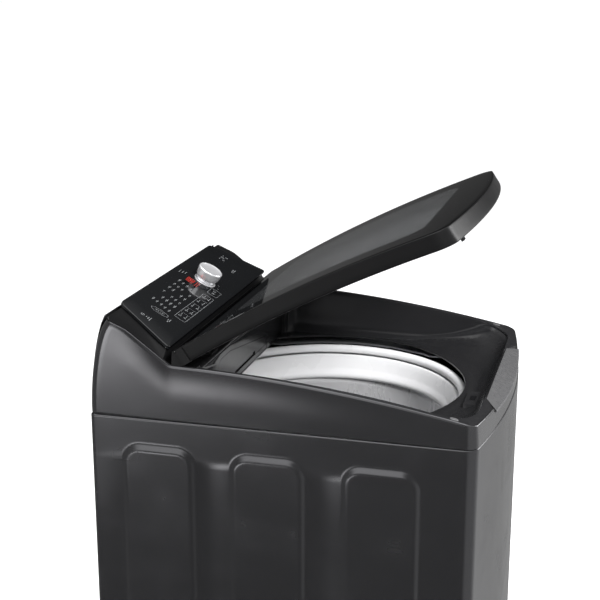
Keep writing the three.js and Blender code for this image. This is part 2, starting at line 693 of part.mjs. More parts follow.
function lidGlass() {
  return opened(glassSolid(0, 0).intersect(lidSolid()));
}

function hingePin(side) {
  const pin = barX(3, HINGE_X - 17, HINGE_X + 17, PIVOT_Y, PIVOT_Z);
  return side > 0 ? pin : mirrored(pin);
}

function hingeBracket(side) {
  const x0 = HINGE_X - 6;
  const x1 = HINGE_X + 6;
  const eye = prismX(circle(PIVOT_Y, PIVOT_Z, 7.4, 20), x0, x1);
  const neck = prismX(
    [[PIVOT_Y - 5, SHELF_Z + 1], [PIVOT_Y + 5, SHELF_Z + 1], [PIVOT_Y + 5, PIVOT_Z], [PIVOT_Y - 5, PIVOT_Z]], x0, x1);
  const base = box(HINGE_X - 16, HINGE_X + 16, PIVOT_Y - 14, PIVOT_Y + 16, SHELF_Z + 0.3, SHELF_Z + 3);
  const bracket = eye.add(neck).add(base).subtract(barX(3.3, x0 - 1, x1 + 1, PIVOT_Y, PIVOT_Z));
  return side > 0 ? bracket : mirrored(bracket);
}

function lidStriker() {
  const z = rimZ(LOCK_Y) + LID_LIFT;
  const blade = box(LOCK_X - 7, LOCK_X + 7, LOCK_Y - 2.5, LOCK_Y + 2.5, z - 30, z - 1.4);
  const slot = box(LOCK_X - 3.5, LOCK_X + 3.5, LOCK_Y - 4, LOCK_Y + 4, z - 25, z - 17);
  const foot = box(LOCK_X - 14, LOCK_X + 14, LOCK_Y - 5, LOCK_Y + 5, z - 4, z - 1.4);
  return opened(blade.subtract(slot).add(foot));
}

function lidLock() {
  const z0 = SEAM_Z - 6;
  const body = box(LOCK_X - 34, LOCK_X + 34, LOCK_Y - 12, LOCK_Y + 12, z0, z0 + 14);
  const slot = box(LOCK_X - 12, LOCK_X + 12, LOCK_Y - 5, LOCK_Y + 5, z0 + 4, z0 + 16);
  return body.subtract(slot);
}

// ---- tub and basket -----------------------------------------------------------------
function outerTub() {
  const r = TUB_R;
  const t = TUB_T;
  const z = TUB_Z0;
  const shell = turned([[36, z], [r - 22, z + 8], [r - 8, z + 22], [r - 2, z + 40], [r, TUB_Z1], [r - t, TUB_Z1],
    [r - 2 - t, z + 41], [r - 8 - t, z + 26], [r - 22 - t, z + 8 + t], [36, z + t]], 36);
  let tub = shell;
  for (const [x, y] of rodPlaces()) {
    const a = Math.atan2(y, x) / DEG;
    const reach = Math.hypot(x, y) + 22;
    const arm = box(r - 3, reach, -22, 22, EAR_Z, EAR_Z + 8);
    tub = tub.add(arm.rotate([0, 0, a]).subtract(rod(9, EAR_Z - 5, EAR_Z + 20, x, y, 12)));
  }
  return tub;
}

const EAR_Z = 372;
const CAP_Z = 306;

function tubCover() {
  const r = RING_R;
  const m = MOUTH_R;
  const z = TUB_Z1;
  return turned([[TUB_R, z + 0.3], [TUB_R, z + 6], [r, z + 9], [r - 1.5, z + 17], [r - 8, z + 22.5],
    [m + 5, z + 21], [m, z + 14], [m + 1, z + 8.6], [r - 8, z + 8.6], [r - 3, z + 0.3]], 44);
}

function balanceRing() {
  const b = BASKET_R;
  const z = BASKET_Z1;
  return turned([[b, z + 0.3], [b + 16, z + 6], [b + 17, z + 40], [b + 10, z + 46], [b + 6, z + 44],
    [b - 3, z + 20], [b - 7.5, z + 11], [b - 8.5, z + 6], [b - 5, z + 0.3]], 44);
}

function basket() {
  const b = BASKET_R;
  const t = BASKET_T;
  const z = BASKET_Z0;
  return turned([[b, BASKET_Z1], [b, z + 15], [b - 5, z + 3.5], [b - 16, z], [b - 16, z + t], [b - 5 - t / 2, z + 3.5 + t],
    [b - t, z + 15 + t / 2], [b - t, BASKET_Z1]], 40);
}

function basketBase() {
  const b = BASKET_R;
  const z = BASKET_Z0;
  return turned([[10.2, z - 22], [40, z - 22], [46, z - 10], [b - 20, z - 6], [b - 17.4, z - 3], [b - 17.4, z + 2],
    [b - 22, z + 3.4], [60, z - 2], [10.2, z - 2]], 32);
}

function lintFilter(side) {
  const r1 = BASKET_R - 4;
  const ring = tube(r1 - 13, r1, FILTER_Z0, FILTER_Z1, 0, 0, 64);
  const piece = ring.intersect(box(r1 - 40, r1 + 1, -42, 42, FILTER_Z0 - 1, FILTER_Z1 + 1));
  return side > 0 ? piece : mirrored(piece);
}

function pulsator() {
  const r = PULSATOR_R;
  const z = BASKET_Z0 + 6;
  let disc = turned([[0, z], [r - 8, z], [r, z + 6], [r, z + 12], [r - 6, z + 15], [r * 0.6, z + 11],
    [34, z + 22], [0, z + 22]], 24);
  for (let i = 0; i < 6; i += 1) {
    const fin = hull([
      [30, -10, z + 8], [30, 10, z + 8], [r - 12, -14, z + 8], [r - 12, 14, z + 8],
      [36, -3, z + 30], [36, 3, z + 30], [r - 40, -3, z + 26], [r - 40, 3, z + 26], [r - 18, 0, z + 14],
    ]);
    disc = disc.add(fin.rotate([0, 0, i * 60 + 5]));
  }
  return disc.subtract(rod(33, z + 21, z + 60, 0, 0, 24)).subtract(rod(7, z - 1, z + 60, 0, 0, 20));
}

function pulsatorCap() {
  const z = BASKET_Z0 + 27.4;
  return turned([[0, z], [32, z], [32, z + 4], [28, z + 10], [18, z + 14], [0, z + 15]], 24);
}

function washShaft() {
  const z = BASKET_Z0;
  return rod(9.6, TUB_Z0 - 16, z + 5.6, 0, 0, 20).add(rod(6.6, z + 5, z + 26, 0, 0, 20));
}

function spinShaft() {
  return tube(10.2, 17, TUB_Z0 - 16, BASKET_Z0 - 22.4, 0, 0, 24);
}

function tubSeal() {
  const z = TUB_Z0;
  return turned([[17.4, z], [35.6, z], [35.6, z + 4], [24, z + 8], [17.4, z + 8]], 18);
}

// ---- drive --------------------------------------------------------------------------
function driveBracket() {
  const z1 = TUB_Z0 - GAP;
  const shape = roundedBox(-115, 115, -100, MOTOR_Y + 66, 20);
  let plate = prismZ(shape, z1 - 5, z1);
  plate = plate.subtract(rod(40, z1 - 6, z1 + 1, 0, 0, 32));
  return plate.subtract(rod(20, z1 - 6, z1 + 1, 0, MOTOR_Y, 20));
}

function gearCase() {
  const z1 = TUB_Z0 - 5 - 2 * GAP;
  return turned([[9, 184], [30, 184], [60, 196], [62, 204], [62, z1], [18, z1], [18, 230], [9, 230]], 20);
}

function motor() {
  const z1 = TUB_Z0 - 5 - 2 * GAP;
  return turned([[6.5, 178], [48, 178], [56, 184], [56, z1], [6.5, z1]], 20, 0, MOTOR_Y);
}

function pulley(r, x, y, top) {
  const z = PULLEY_Z;
  return turned([[0, z - 9], [r + 4, z - 9], [r + 4, z - 6], [r - 3, z - 5], [r - 3, z + 5], [r + 4, z + 6],
    [r + 4, z + 9], [8, z + 9], [8, top], [0, top]], 24, x, y);
}

function motorPulley() {
  const z = PULLEY_Z;
  const r = MOTOR_PULLEY_R;
  return turned([[0, z - 9], [r + 4, z - 9], [r + 4, z - 6], [r - 3, z - 5], [r - 3, z + 5], [r + 4, z + 6],
    [r + 4, z + 9], [6, z + 9], [6, 240], [0, 240]], 16, 0, MOTOR_Y);
}

function beltLoop(extra, z0, z1) {
  const big = circle(0, 0, SPIN_PULLEY_R - 3 + extra, 28);
  const small = circle(0, MOTOR_Y, MOTOR_PULLEY_R - 3 + extra, 16);
  return hull([...big, ...small].flatMap(([x, y]) => [[x, y, z0], [x, y, z1]]));
}

function belt() {
  return beltLoop(5.5, PULLEY_Z - 4, PULLEY_Z + 4).subtract(beltLoop(0.5, PULLEY_Z - 5, PULLEY_Z + 5));
}

function drainValve() {
  const body = rod(30, 205, TUB_Z0 - 1, -150, 110, 24).add(box(-175, -125, 60, 112, 208, 240));
  return body.subtract(rod(12, 200, 214, -150, 110, 16));
}

function drainSpigot() {
  const y1 = HALF_D - 0.5;
  return barY(15, y1 - 46, y1, -185, 130).add(barY(20, y1 - 16, y1 - 12, -185, 130))
    .subtract(barY(12, y1 - 47, y1 + 1, -185, 130));
}

function cordGland() {
  const y1 = HALF_D - 0.5;
  return barY(9, y1 - 14, y1, 190, 130).subtract(barY(4.5, y1 - 15, y1 + 1, 190, 130));
}

// ---- suspension ---------------------------------------------------------------------
function suspensionRod(x, y) {
  const z1 = SEAM_Z - 14;
  return turned([[0, CAP_Z - 8], [20, CAP_Z - 8], [20, CAP_Z - 0.4], [4, CAP_Z - 0.4], [4, z1 + 0.4], [13, z1 + 0.4],
    [13, z1 + 6], [8, z1 + 10], [0, z1 + 11]], 10, x, y);
}

function suspensionSpring(x, y) {
  const z0 = CAP_Z + 1.8;
  const z1 = EAR_Z - 2.4;
  const turns = 4;
  const steps = turns * 8;
  const points = [];
  for (let i = 0; i <= steps; i += 1) {
    const a = (i / 8) * 2 * Math.PI;
    points.push(new THREE.Vector3(13 * Math.cos(a), 13 * Math.sin(a), z0 + ((z1 - z0) * i) / steps));
  }
  const path = new THREE.CatmullRomCurve3(points);
  const wire = shapeOf(circle(0, 0, 1.8, 5));
  const coil = new THREE.ExtrudeGeometry(wire, { steps, extrudePath: path, bevelEnabled: false });
  return solid(coil).translate([x, y, 0]);
}

// ---- assembly -----------------------------------------------------------------------
const machine = new THREE.Group();
machine.name = 'top_load_washing_machine';

function put(name, manifold, look) {
  const [color, roughness, metalness] = LOOK[look];
  const mesh = new THREE.Mesh(toGeometry(manifold), new THREE.MeshStandardMaterial({ color, roughness, metalness }));
  mesh.name = name;
  machine.add(mesh);
}

const CORNERS = ['front_left', 'front_right', 'rear_left', 'rear_right'];

put('cabinet_wrap', cabinetWrap(), 'steel_paint');
put('rear_panel', rearPanel(), 'zinc');
put('base_frame', baseFrame(), 'black_satin');
put('top_frame', topFrame(), 'zinc');
footPlaces().forEach(([x, y], i) => put(`foot_${CORNERS[i]}`, foot(x, y), 'rubber'));

put('top_cover', topCover(), 'cover_paint');
put('scoop_insert', scoopInsert(), 'grey_plastic');
put('bumper_left', bumper(-BUMPER_X), 'grey_plastic');
put('bumper_right', bumper(BUMPER_X), 'grey_plastic');
put('lid_lock', lidLock(), 'black_satin');
put('valve_plate', rearValvePlate(), 'black_satin');
put('inlet_valve', inletValve(), 'light_plastic');
put('dispenser_housing', dispenserHousing(), 'black_satin');
put('detergent_drawer', detergentDrawer(), 'black_satin');
put('softener_cap', softenerCap(), 'grey_plastic');

put('console_housing', consoleHousing(), 'black_gloss');
put('control_panel', fascia(), 'black_gloss');
put('display_window', displayWindow(), 'led');
put('control_board', controlBoard(), 'board');
put('knob', knob(), 'chrome');
put('knob_ring', knobRing(), 'chrome');

put('lid_frame', lidFrame(), 'black_satin');
put('lid_glass', lidGlass(), 'smoked_glass');
put('lid_striker', lidStriker(), 'black_satin');
put('hinge_pin_left', hingePin(-1), 'zinc');
put('hinge_pin_right', hingePin(1), 'zinc');
put('hinge_bracket_left', hingeBracket(-1), 'black_satin');
put('hinge_bracket_right', hingeBracket(1), 'black_satin');

put('outer_tub', outerTub(), 'light_plastic');
put('tub_cover', tubCover(), 'light_plastic');
put('tub_seal', tubSeal(), 'rubber');
put('basket', basket(), 'stainless');
put('balance_ring', balanceRing(), 'light_plastic');
put('basket_base', basketBase(), 'light_plastic');
put('lint_filter_left', lintFilter(-1), 'grey_plastic');
put('lint_filter_right', lintFilter(1), 'grey_plastic');
put('pulsator', pulsator(), 'light_plastic');
put('pulsator_cap', pulsatorCap(), 'grey_plastic');
put('wash_shaft', washShaft(), 'zinc');
put('spin_shaft', spinShaft(), 'zinc');

put('drive_bracket', driveBracket(), 'zinc');
put('gear_case', gearCase(), 'zinc');
put('motor', motor(), 'zinc');
put('drive_pulley', pulley(SPIN_PULLEY_R, 0, 0, 226), 'zinc');
put('motor_pulley', motorPulley(), 'zinc');
put('drive_belt', belt(), 'rubber');
put('drain_valve', drainValve(), 'light_plastic');
put('drain_spigot', drainSpigot(), 'grey_plastic');
put('cord_gland', cordGland(), 'rubber');
rodPlaces().forEach(([x, y], i) => put(`suspension_rod_${CORNERS[i]}`, suspensionRod(x, y), 'zinc'));
rodPlaces().forEach(([x, y], i) => put(`spring_${CORNERS[i]}`, suspensionSpring(x, y), 'zinc'));

export default machine;
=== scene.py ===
"""Top load washing machine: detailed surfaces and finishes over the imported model.

Lengths inside the shape functions are in millimetres, in the machine's own frame:
+X to the user's right, -Y to the front, +Z up, origin on the floor under the middle.
"""
import math

import bmesh
import bpy
import numpy as np
from bpy.props import FloatProperty, FloatVectorProperty, PointerProperty
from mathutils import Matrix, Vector


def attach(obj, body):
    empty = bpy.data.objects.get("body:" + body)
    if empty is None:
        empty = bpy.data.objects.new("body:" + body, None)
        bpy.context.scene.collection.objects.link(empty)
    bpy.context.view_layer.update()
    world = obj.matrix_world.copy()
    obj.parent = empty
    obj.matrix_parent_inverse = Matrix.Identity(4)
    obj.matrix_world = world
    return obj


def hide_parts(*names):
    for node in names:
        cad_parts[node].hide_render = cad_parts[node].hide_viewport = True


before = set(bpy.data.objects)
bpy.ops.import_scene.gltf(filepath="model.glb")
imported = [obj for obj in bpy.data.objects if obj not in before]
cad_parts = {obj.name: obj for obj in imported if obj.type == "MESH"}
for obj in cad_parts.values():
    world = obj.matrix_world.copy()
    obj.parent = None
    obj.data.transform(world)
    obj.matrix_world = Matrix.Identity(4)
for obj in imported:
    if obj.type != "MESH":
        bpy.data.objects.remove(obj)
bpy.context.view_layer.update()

bl_info = {
    "name": "Top Load Washer",
    "version": (1, 0, 0),
    "blender": (4, 5, 0),
    "location": "3D View > Sidebar > Washer",
    "description": "Surfaces, finishes and stage of a top load washing machine",
    "category": "Object",
}

DEG = math.pi / 180


# ---- curves and outlines ------------------------------------------------------------

def soft(x, xs, ys):
    """Smooth curve through the points (xs, ys) read at x: cubic pieces whose slope at a
    point is the mean of the slopes on its two sides. ys may hold rows of several values."""
    xs, ys, x = np.asarray(xs, float), np.asarray(ys, float), np.asarray(x, float)
    flat = ys.ndim == 1
    ys = ys.reshape(len(xs), -1)
    d = np.diff(ys, axis=0) / np.diff(xs)[:, None]
    m = np.concatenate([d[:1], (d[1:] + d[:-1]) / 2, d[-1:]])
    i = np.clip(np.searchsorted(xs, x, side="right") - 1, 0, len(xs) - 2)
    h = (xs[i + 1] - xs[i])[..., None]
    t = ((x - xs[i])[..., None] / h).clip(0, 1)
    out = ((1 + 2 * t) * (1 - t) ** 2 * ys[i] + t * (1 - t) ** 2 * h * m[i]
           + t * t * (3 - 2 * t) * ys[i + 1] + t * t * (t - 1) * h * m[i + 1])
    return out[..., 0] if flat else out


def ease(a, b, x):
    """0 before a, 1 after b and a smooth S between: 3t^2 - 2t^3."""
    t = np.clip((np.asarray(x, float) - a) / (b - a), 0, 1)
    return t * t * (3 - 2 * t)


def arc(cx, cy, r, start, end, count):
    """Points on a circle about (cx, cy), from one angle to another, in degrees."""
    a = np.linspace(start, end, count) * DEG
    return np.stack([cx + r * np.cos(a), cy + r * np.sin(a)], 1)


def line(p, q, count):
    """Evenly spaced points from p to q."""
    return np.asarray(p, float) + np.linspace(0, 1, count)[:, None] * (np.asarray(q, float) - np.asarray(p, float))


def rounded_box(x0, x1, y0, y1, r, corner=6, side=8):
    """Closed outline of a rectangle with round corners, anticlockwise, no repeated point."""
    parts = []
    for cx, cy, a in ((x1 - r, y0 + r, -90), (x1 - r, y1 - r, 0), (x0 + r, y1 - r, 90), (x0 + r, y0 + r, 180)):
        parts.append(arc(cx, cy, r, a, a + 90, corner))
    out = []
    for k, part in enumerate(parts):
        out.append(part)
        out.append(line(part[-1], parts[(k + 1) % 4][0], side)[1:-1])
    return np.concatenate(out)


def sizes():
    return bpy.context.scene.washer_sizes


class Body:
    """The machine's leading measures in millimetres, from the panel's sizes."""

    def __init__(self):
        s = sizes()
        self.hw = s.width * 500
        self.hd = s.depth * 500
        self.seam = s.seam_height * 1000
        self.bow = s.front_bow * 1000
        self.pivot_y = self.hd - 158.5
        self.rim_h = 92.9
        self.pivot_z = self.seam + self.rim_h + 13.1
        self.lid_t = s.lid_thickness * 1000
        self.lid_open = math.degrees(s.lid_angle)
        self.tilt = s.panel_tilt
        self.rear_lean = 33.5
        self.rear_drop = 10
        self.rear_top = self.hd - self.rear_lean
        self.chord = self.pivot_y - 20
        self.shelf = self.seam + self.rim_h - 13.9

    def rim(self, y):
        """Height of the cover's rim: a falling parabola from the hinge to the front."""
        u = (self.pivot_y + 3 - y) / (self.pivot_y + self.hd - 0.5)
        return self.seam + self.rim_h - 60.9 * (0.195 * u + 0.805 * u * u)

    def edge(self, y):
        """Height of the cover's side edge behind the hinge: a straight slope."""
        return self.seam + self.rim_h + 0.3 + (y - self.pivot_y - 18) * 0.766

    def side_top(self, y):
        """Rim in front, console slope behind, blended over a few millimetres and dropping
        at the rear corner."""
        y = np.asarray(y, float)
        a = self.rim(np.minimum(y, self.pivot_y + 30))
        b = self.edge(y) - self.rear_drop * ease(self.rear_top - 40, self.rear_top, y)
        k = 1.6
        return k * np.logaddexp(a / k, b / k)

    def bow_circle(self, off=0):
        """Radius of the bowed front seen from above, less off, and its middle's Y."""
        reach = self.hw - 15
        r = (reach * reach + self.bow ** 2) / (2 * self.bow)
        return r - off, -self.hd + r

    def front_corner(self, radius):
        """Middle of the front corner's arc, and the angle at which the bow runs into it."""
        r, cy0 = self.bow_circle()
        cx = self.hw - radius
        cy = cy0 - math.sqrt((r - radius) ** 2 - cx * cx)
        return cx, cy, math.degrees(math.asin(cx / (r - radius)))

    def half_plan(self, off, corner, n=(30, 10, 30, 6), rear=8):
        """Right half of the outline seen from above, from the front middle to the rear
        middle: bowed front, corner arc, straight side, rear corner arc, rear."""
        r, cy0 = self.bow_circle()
        cx, cy, lean = self.front_corner(corner)
        c, rr = max(corner - off, 1), max(rear - off, 1)
        hw, hd = self.hw - off, self.hd - off
        return np.concatenate([
            arc(0, cy0, r - off, 270, 270 + lean, n[0])[:-1],
            arc(cx, cy, c, 270 + lean, 360, n[1]),
            line((hw, cy), (hw, hd - rr), n[2])[1:-1],
            arc(hw - rr, hd - rr, rr, 0, 90, n[3]),
            line((hw - rr, hd), (0, hd), 12)[1:],
        ])

    def on_panel(self, x, s, lift):
        """A point of the sloping control panel: s runs up the slope, lift stands off it."""
        c, k = math.cos(self.tilt), math.sin(self.tilt)
        x, s, lift = np.broadcast_arrays(*(np.asarray(v, float) for v in (x, s, lift)))
        y0, z0 = self.pivot_y + 22, self.pivot_z + 13.7
        return np.stack([x, y0 + s * c - lift * k, z0 + s * k + lift * c], -1)

    def opened(self, p):
        """Turns points of the shut lid about the hinge to the open rest position."""
        a = -self.lid_open * DEG
        y, z = p[..., 1] - self.pivot_y, p[..., 2] - self.pivot_z
        return np.stack([p[..., 0], self.pivot_y + y * math.cos(a) - z * math.sin(a),
                         self.pivot_z + y * math.sin(a) + z * math.cos(a)], -1)


def both_sides(half):
    """Closed outline from its right half: the half, then its mirror image backwards."""
    left = half[::-1].copy()
    left[:, 0] *= -1
    return np.concatenate([half, left[1:-1]])


def outward(points, closed=False):
    """Unit normals to the right of the way along an outline."""
    tangent = np.roll(points, -1, 0) - np.roll(points, 1, 0) if closed else np.gradient(points, axis=0)
    normal = np.column_stack([tangent[:, 1], -tangent[:, 0]])
    return normal / np.linalg.norm(normal, axis=1)[:, None]


# ---- meshes -------------------------------------------------------------------------

def grid(points, loop_u=False, loop_v=False, flip=False):
    """A sheet of quads over an array of points [rows, columns, 3]. loop_u joins the last
    column to the first and loop_v the last row to the first."""
    p = np.asarray(points, float)
    rows, cols = p.shape[:2]
    r = np.arange(rows if loop_v else rows - 1)[:, None]
    c = np.arange(cols if loop_u else cols - 1)[None, :]
    r1, c1 = (r + 1) % rows, (c + 1) % cols
    quads = np.stack(np.broadcast_arrays(r * cols + c, r * cols + c1, r1 * cols + c1, r1 * cols + c), -1)
    quads = quads.reshape(-1, 4)
    return p.reshape(-1, 3), quads[:, ::-1] if flip else quads


def piece(name, sheets, body, nodes=(), materials=(), wall=0.0, outwards=False, sharp=35, index=None):
    """One object from sheets (points, quads) in millimetres. Doubles are merged, closed
    shapes get outward faces, and a wall thickness may be added behind the faces."""
    points, faces, mats, base = [], [], [], 0
    for k, (p, q) in enumerate(sheets):
        points.append(p)
        faces.append(q + base)
        mats.append(np.full(len(q), index[k] if index else 0))
        base += len(p)
    points, faces, mats = np.concatenate(points) / 1000, np.concatenate(faces), np.concatenate(mats)
    mesh = bpy.data.meshes.new(name)
    mesh.from_pydata(points.tolist(), [], faces.tolist())
    mesh.polygons.foreach_set("material_index", mats.astype(np.int32))
    bm = bmesh.new()
    bm.from_mesh(mesh)
    bmesh.ops.remove_doubles(bm, verts=bm.verts, dist=2e-6)
    bmesh.ops.dissolve_degenerate(bm, edges=bm.edges, dist=1e-6)
    if outwards:
        bmesh.ops.recalc_face_normals(bm, faces=bm.faces)
    bm.to_mesh(mesh)
    bm.free()
    mesh.shade_smooth()
    mesh.set_sharp_from_angle(angle=sharp * DEG)
    obj = bpy.data.objects.new(name, mesh)
    bpy.context.scene.collection.objects.link(obj)
    for m in materials:
        mesh.materials.append(m)
    if wall:
        mod = obj.modifiers.new("wall", "SOLIDIFY")
        mod.thickness = wall / 1000
        mod.offset = -1
    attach(obj, body)
    if nodes:
        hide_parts(*nodes)
    return obj


def turned(profile, count, x=0.0, y=0.0, closed=False):
    """Sheet swept by a profile of (radius, height) pairs about an upright axis."""
    pr = np.asarray(profile, float)
    a = np.linspace(0, 2 * math.pi, count, endpoint=False)
    p = np.stack([x + pr[:, :1] * np.cos(a), y + pr[:, :1] * np.sin(a), np.repeat(pr[:, 1:], count, 1)], -1)
    return grid(p, loop_u=True, loop_v=closed)


def filleted(points, radius, steps=5, closed=False):
    """A profile with each corner replaced by a short curve that starts and ends a radius
    away from it and bends as a parabola."""
    p = np.asarray(points, float)
    n = len(p)
    out = []
    for i in range(n):
        if not closed and i in (0, n - 1):
            out.append(p[i:i + 1])
            continue
        a, b, c = p[i - 1], p[i], p[(i + 1) % n]
        la, lc = np.linalg.norm(a - b), np.linalg.norm(c - b)
        r = min(radius, 0.45 * la, 0.45 * lc)
        s, e = b + (a - b) * r / la, b + (c - b) * r / lc
        t = np.linspace(0, 1, steps)[:, None]
        out.append((1 - t) ** 2 * s + 2 * t * (1 - t) * b + t * t * e)
    return np.concatenate(out)


def slab(outline, top, bottom, r, rings, middle):
    """Closed slab over an outline: bottom, rounded top edge and top. top and bottom are
    functions of (x, y). The faces close on the middle, a point inside the outline."""
    steps = 4
    o, c = np.asarray(outline, float), np.asarray(middle, float)
    normal = outward(o, closed=True)
    rows = []
    for k in range(rings + 1):
        q = c + (o - c) * (k / rings)
        rows.append(np.column_stack([q, bottom(q[:, 0], q[:, 1])]))
    for k in range(steps + 1):
        a = k / steps * math.pi / 2
        q = o - normal * r * (1 - math.cos(a))
        rows.append(np.column_stack([q, top(q[:, 0], q[:, 1]) - r * (1 - math.sin(a))]))
    inner = o - normal * r
    for k in range(rings):
        q = c + (inner - c) * (1 - (k + 1) / rings)
        rows.append(np.column_stack([q, top(q[:, 0], q[:, 1])]))
    return grid(np.stack(rows), loop_u=True)


# ---- shapes -------------------------------------------------------------------------

PADS = {"half": 67, "pitch": 184, "middle": 27, "z0": 110, "rise": 4, "slope": 11, "corner": 36}


def pad_rise(b, y, z):
    """Height of the pressed side panels: an S-shaped step over the distance inside the
    nearest rounded rectangle."""
    p = PADS
    z1 = b.seam - 42
    zc, zh = (z1 + p["z0"]) / 2, (z1 - p["z0"]) / 2
    k = np.clip(np.round((y - p["middle"]) / p["pitch"]), -1, 1)
    qx = np.abs(y - p["middle"] - k * p["pitch"]) - (p["half"] - p["corner"])
    qz = np.abs(z - zc) - (zh - p["corner"])
    inside = p["corner"] - np.hypot(np.maximum(qx, 0), np.maximum(qz, 0)) - np.minimum(np.maximum(qx, qz), 0)
    return p["rise"] * ease(0, p["slope"] + 3, inside)


def cabinet_skin(b):
    """Outline of the machine carried upwards, with the pads raised on its sides and the
    top edge rolled in."""
    near = np.linspace(30, 64, 13)
    centres = [PADS["middle"] + k * PADS["pitch"] for k in (-1, 0, 1)]
    y = np.unique(np.concatenate([c + s * near for c in centres for s in (-1, 1)] + [centres]))
    half = b.half_plan(0, 22, (26, 12, 3, 8), rear=9)
    side = (half[:, 0] > b.hw - 0.01)
    lo, hi = half[side, 1].min(), half[side, 1].max()
    y = y[(y > lo + 2) & (y < hi - 2)]
    cut = np.argmax(side) + 1
    end = len(half) - 12
    half = np.concatenate([half[:cut], np.column_stack([np.full(len(y), b.hw), y]), half[cut + 1:end]])
    half = np.concatenate([half, line((b.hw - 10, b.hd), (b.hw - 16, b.hd), 3)])
    left = half[::-1].copy()
    left[:, 0] *= -1
    loop = np.concatenate([left[:-1], half])
    dense = np.linspace(-3, 34, 14)
    z1 = b.seam - 42
    z = np.unique(np.concatenate([[40, 44, 70], PADS["z0"] + dense, np.linspace(200, 700, 7), z1 - dense,
                                  [b.seam - 30, b.seam - 14, b.seam - 6, b.seam - 4, b.seam - 2.8]]))
    normal = outward(loop)
    p = np.zeros((len(z) + 4, len(loop), 3))
    p[:len(z), :, :2] = loop
    p[:len(z), :, 2] = z[:, None]
    on_side = np.abs(np.abs(loop[:, 0]) - b.hw) < 0.01
    rise = np.where(on_side, pad_rise(b, loop[None, :, 1], z[:, None]), 0)
    p[:len(z), :, 0] += rise * np.sign(loop[:, 0])
    for k, (d, h) in enumerate(((0.2, 1.9), (0.65, 1.15), (1.25, 0.6), (2.1, 0.35))):
        p[len(z) + k, :, :2] = loop - normal * d
        p[len(z) + k, :, 2] = b.seam - h
    return grid(p)


def rear_lean(b, z):
    """How far the cover's rear leans forward at a height: a curve through fixed steps."""
    top = float(b.edge(b.rear_top))
    f = (np.asarray(z, float) - b.seam) / (top - b.seam)
    return soft(f, [-0.1, 0, 0.12, 0.33, 0.61, 0.78, 0.91, 1], [0, 0, 0.3, 2.6, 9.5, 16.5, 24.5, b.rear_lean])


def cover_columns(b):
    """Right half of the cover's columns, front middle to rear: outer points and, up to the
    hinge trough, the share of the way along each part of the inner outline."""
    r, cy0 = b.bow_circle()
    corner = 22
    cx, cy, lean = b.front_corner(corner)
    xt = r * math.sin(lean * DEG)
    xs = np.concatenate([np.linspace(0, 160, 15), [166, 169, 170, 171, 172, 173, 174.5, 178],
                         np.linspace(186, xt, 8)])
    front = np.column_stack([xs, cy0 - np.sqrt(r * r - xs * xs)])
    turn = arc(cx, cy, corner, 270 + lean, 360, 15)[1:]
    rear_in = b.chord - 24
    side = line((b.hw, cy), (b.hw, rear_in), 34)[1:]
    bend = line((b.hw, rear_in), (b.hw, b.chord - 6), 7)[1:]
    trough = line((b.hw, b.chord - 6), (b.hw, b.pivot_y + 28), 10)[1:]
    back = line((b.hw, b.pivot_y + 28), (b.hw, b.hd - 14), 16)[1:]
    last = arc(b.hw - 14, b.hd - 14, 14, 0, 90, 9)[1:]
    outer = np.concatenate([front, turn, side, bend, trough, back, last])
    fx = np.interp(xs, [0, 171.5, xt], [0, 140 / 215, 1])
    part = ([("f", f) for f in fx] + [("c", k / 14) for k in range(1, 15)] + [("s", k / 33) for k in range(1, 34)]
            + [("b", k / 6) for k in range(1, 7)])
    counts = {"inner": len(part), "trough": len(part) + 9, "all": len(outer)}
    return outer, part, counts


def recess_at(b, part, z):
    """Inner outline of the loading recess at height z (an array per column), for the
    column parts: straight front, corner arc, straight side, rear corner arc."""
    zs = b.seam + np.array([1, 11, 27, 49, 191])
    table = np.column_stack([
        [b.hw - 21, b.hw - 17, b.hw - 15, b.hw - 13.5, b.hw - 13],
        [-b.hd + 66, -b.hd + 50, -b.hd + 39, -b.hd + 32, -b.hd + 30],
        [214, 150, 92, 60, 52]])
    v = soft(z, zs, table)
    hw, front, r = v[..., 0], v[..., 1], v[..., 2]
    kind = np.array([k for k, _ in part])
    t = np.array([f for _, f in part])
    rear = b.chord - 24
    a = (270 + 90 * t) * DEG
    x = np.where(kind == "f", (hw - r) * t, np.where(kind == "c", hw - r + r * np.cos(a), hw))
    y = np.where(kind == "f", front, np.where(kind == "c", front + r + r * np.sin(a),
                                              front + r + (rear - front - r) * t))
    q = 48.6 * t * DEG
    x = np.where(kind == "b", hw - 24 + 24 * np.cos(q), x)
    y = np.where(kind == "b", rear + 24 * np.sin(q), y)
    return np.stack([x, y], -1)


def scoop_floor(b, y):
    """Sloping floor of the finger scoop in the front rim."""
    return float(b.rim(-b.hd + 31)) - 3 + (y + b.hd - 31) * 0.459


def mirrored_sheet(p):
    """Columns of the right half joined to their mirror image, left to right."""
    joined = abs(p[0, 0, 0]) < 2
    if joined:
        p[:, 0, 0] = 0
    left = p[:, ::-1].copy()
    left[..., 0] *= -1
    return np.concatenate([left[:, :-1], p], 1) if joined else (left, p)


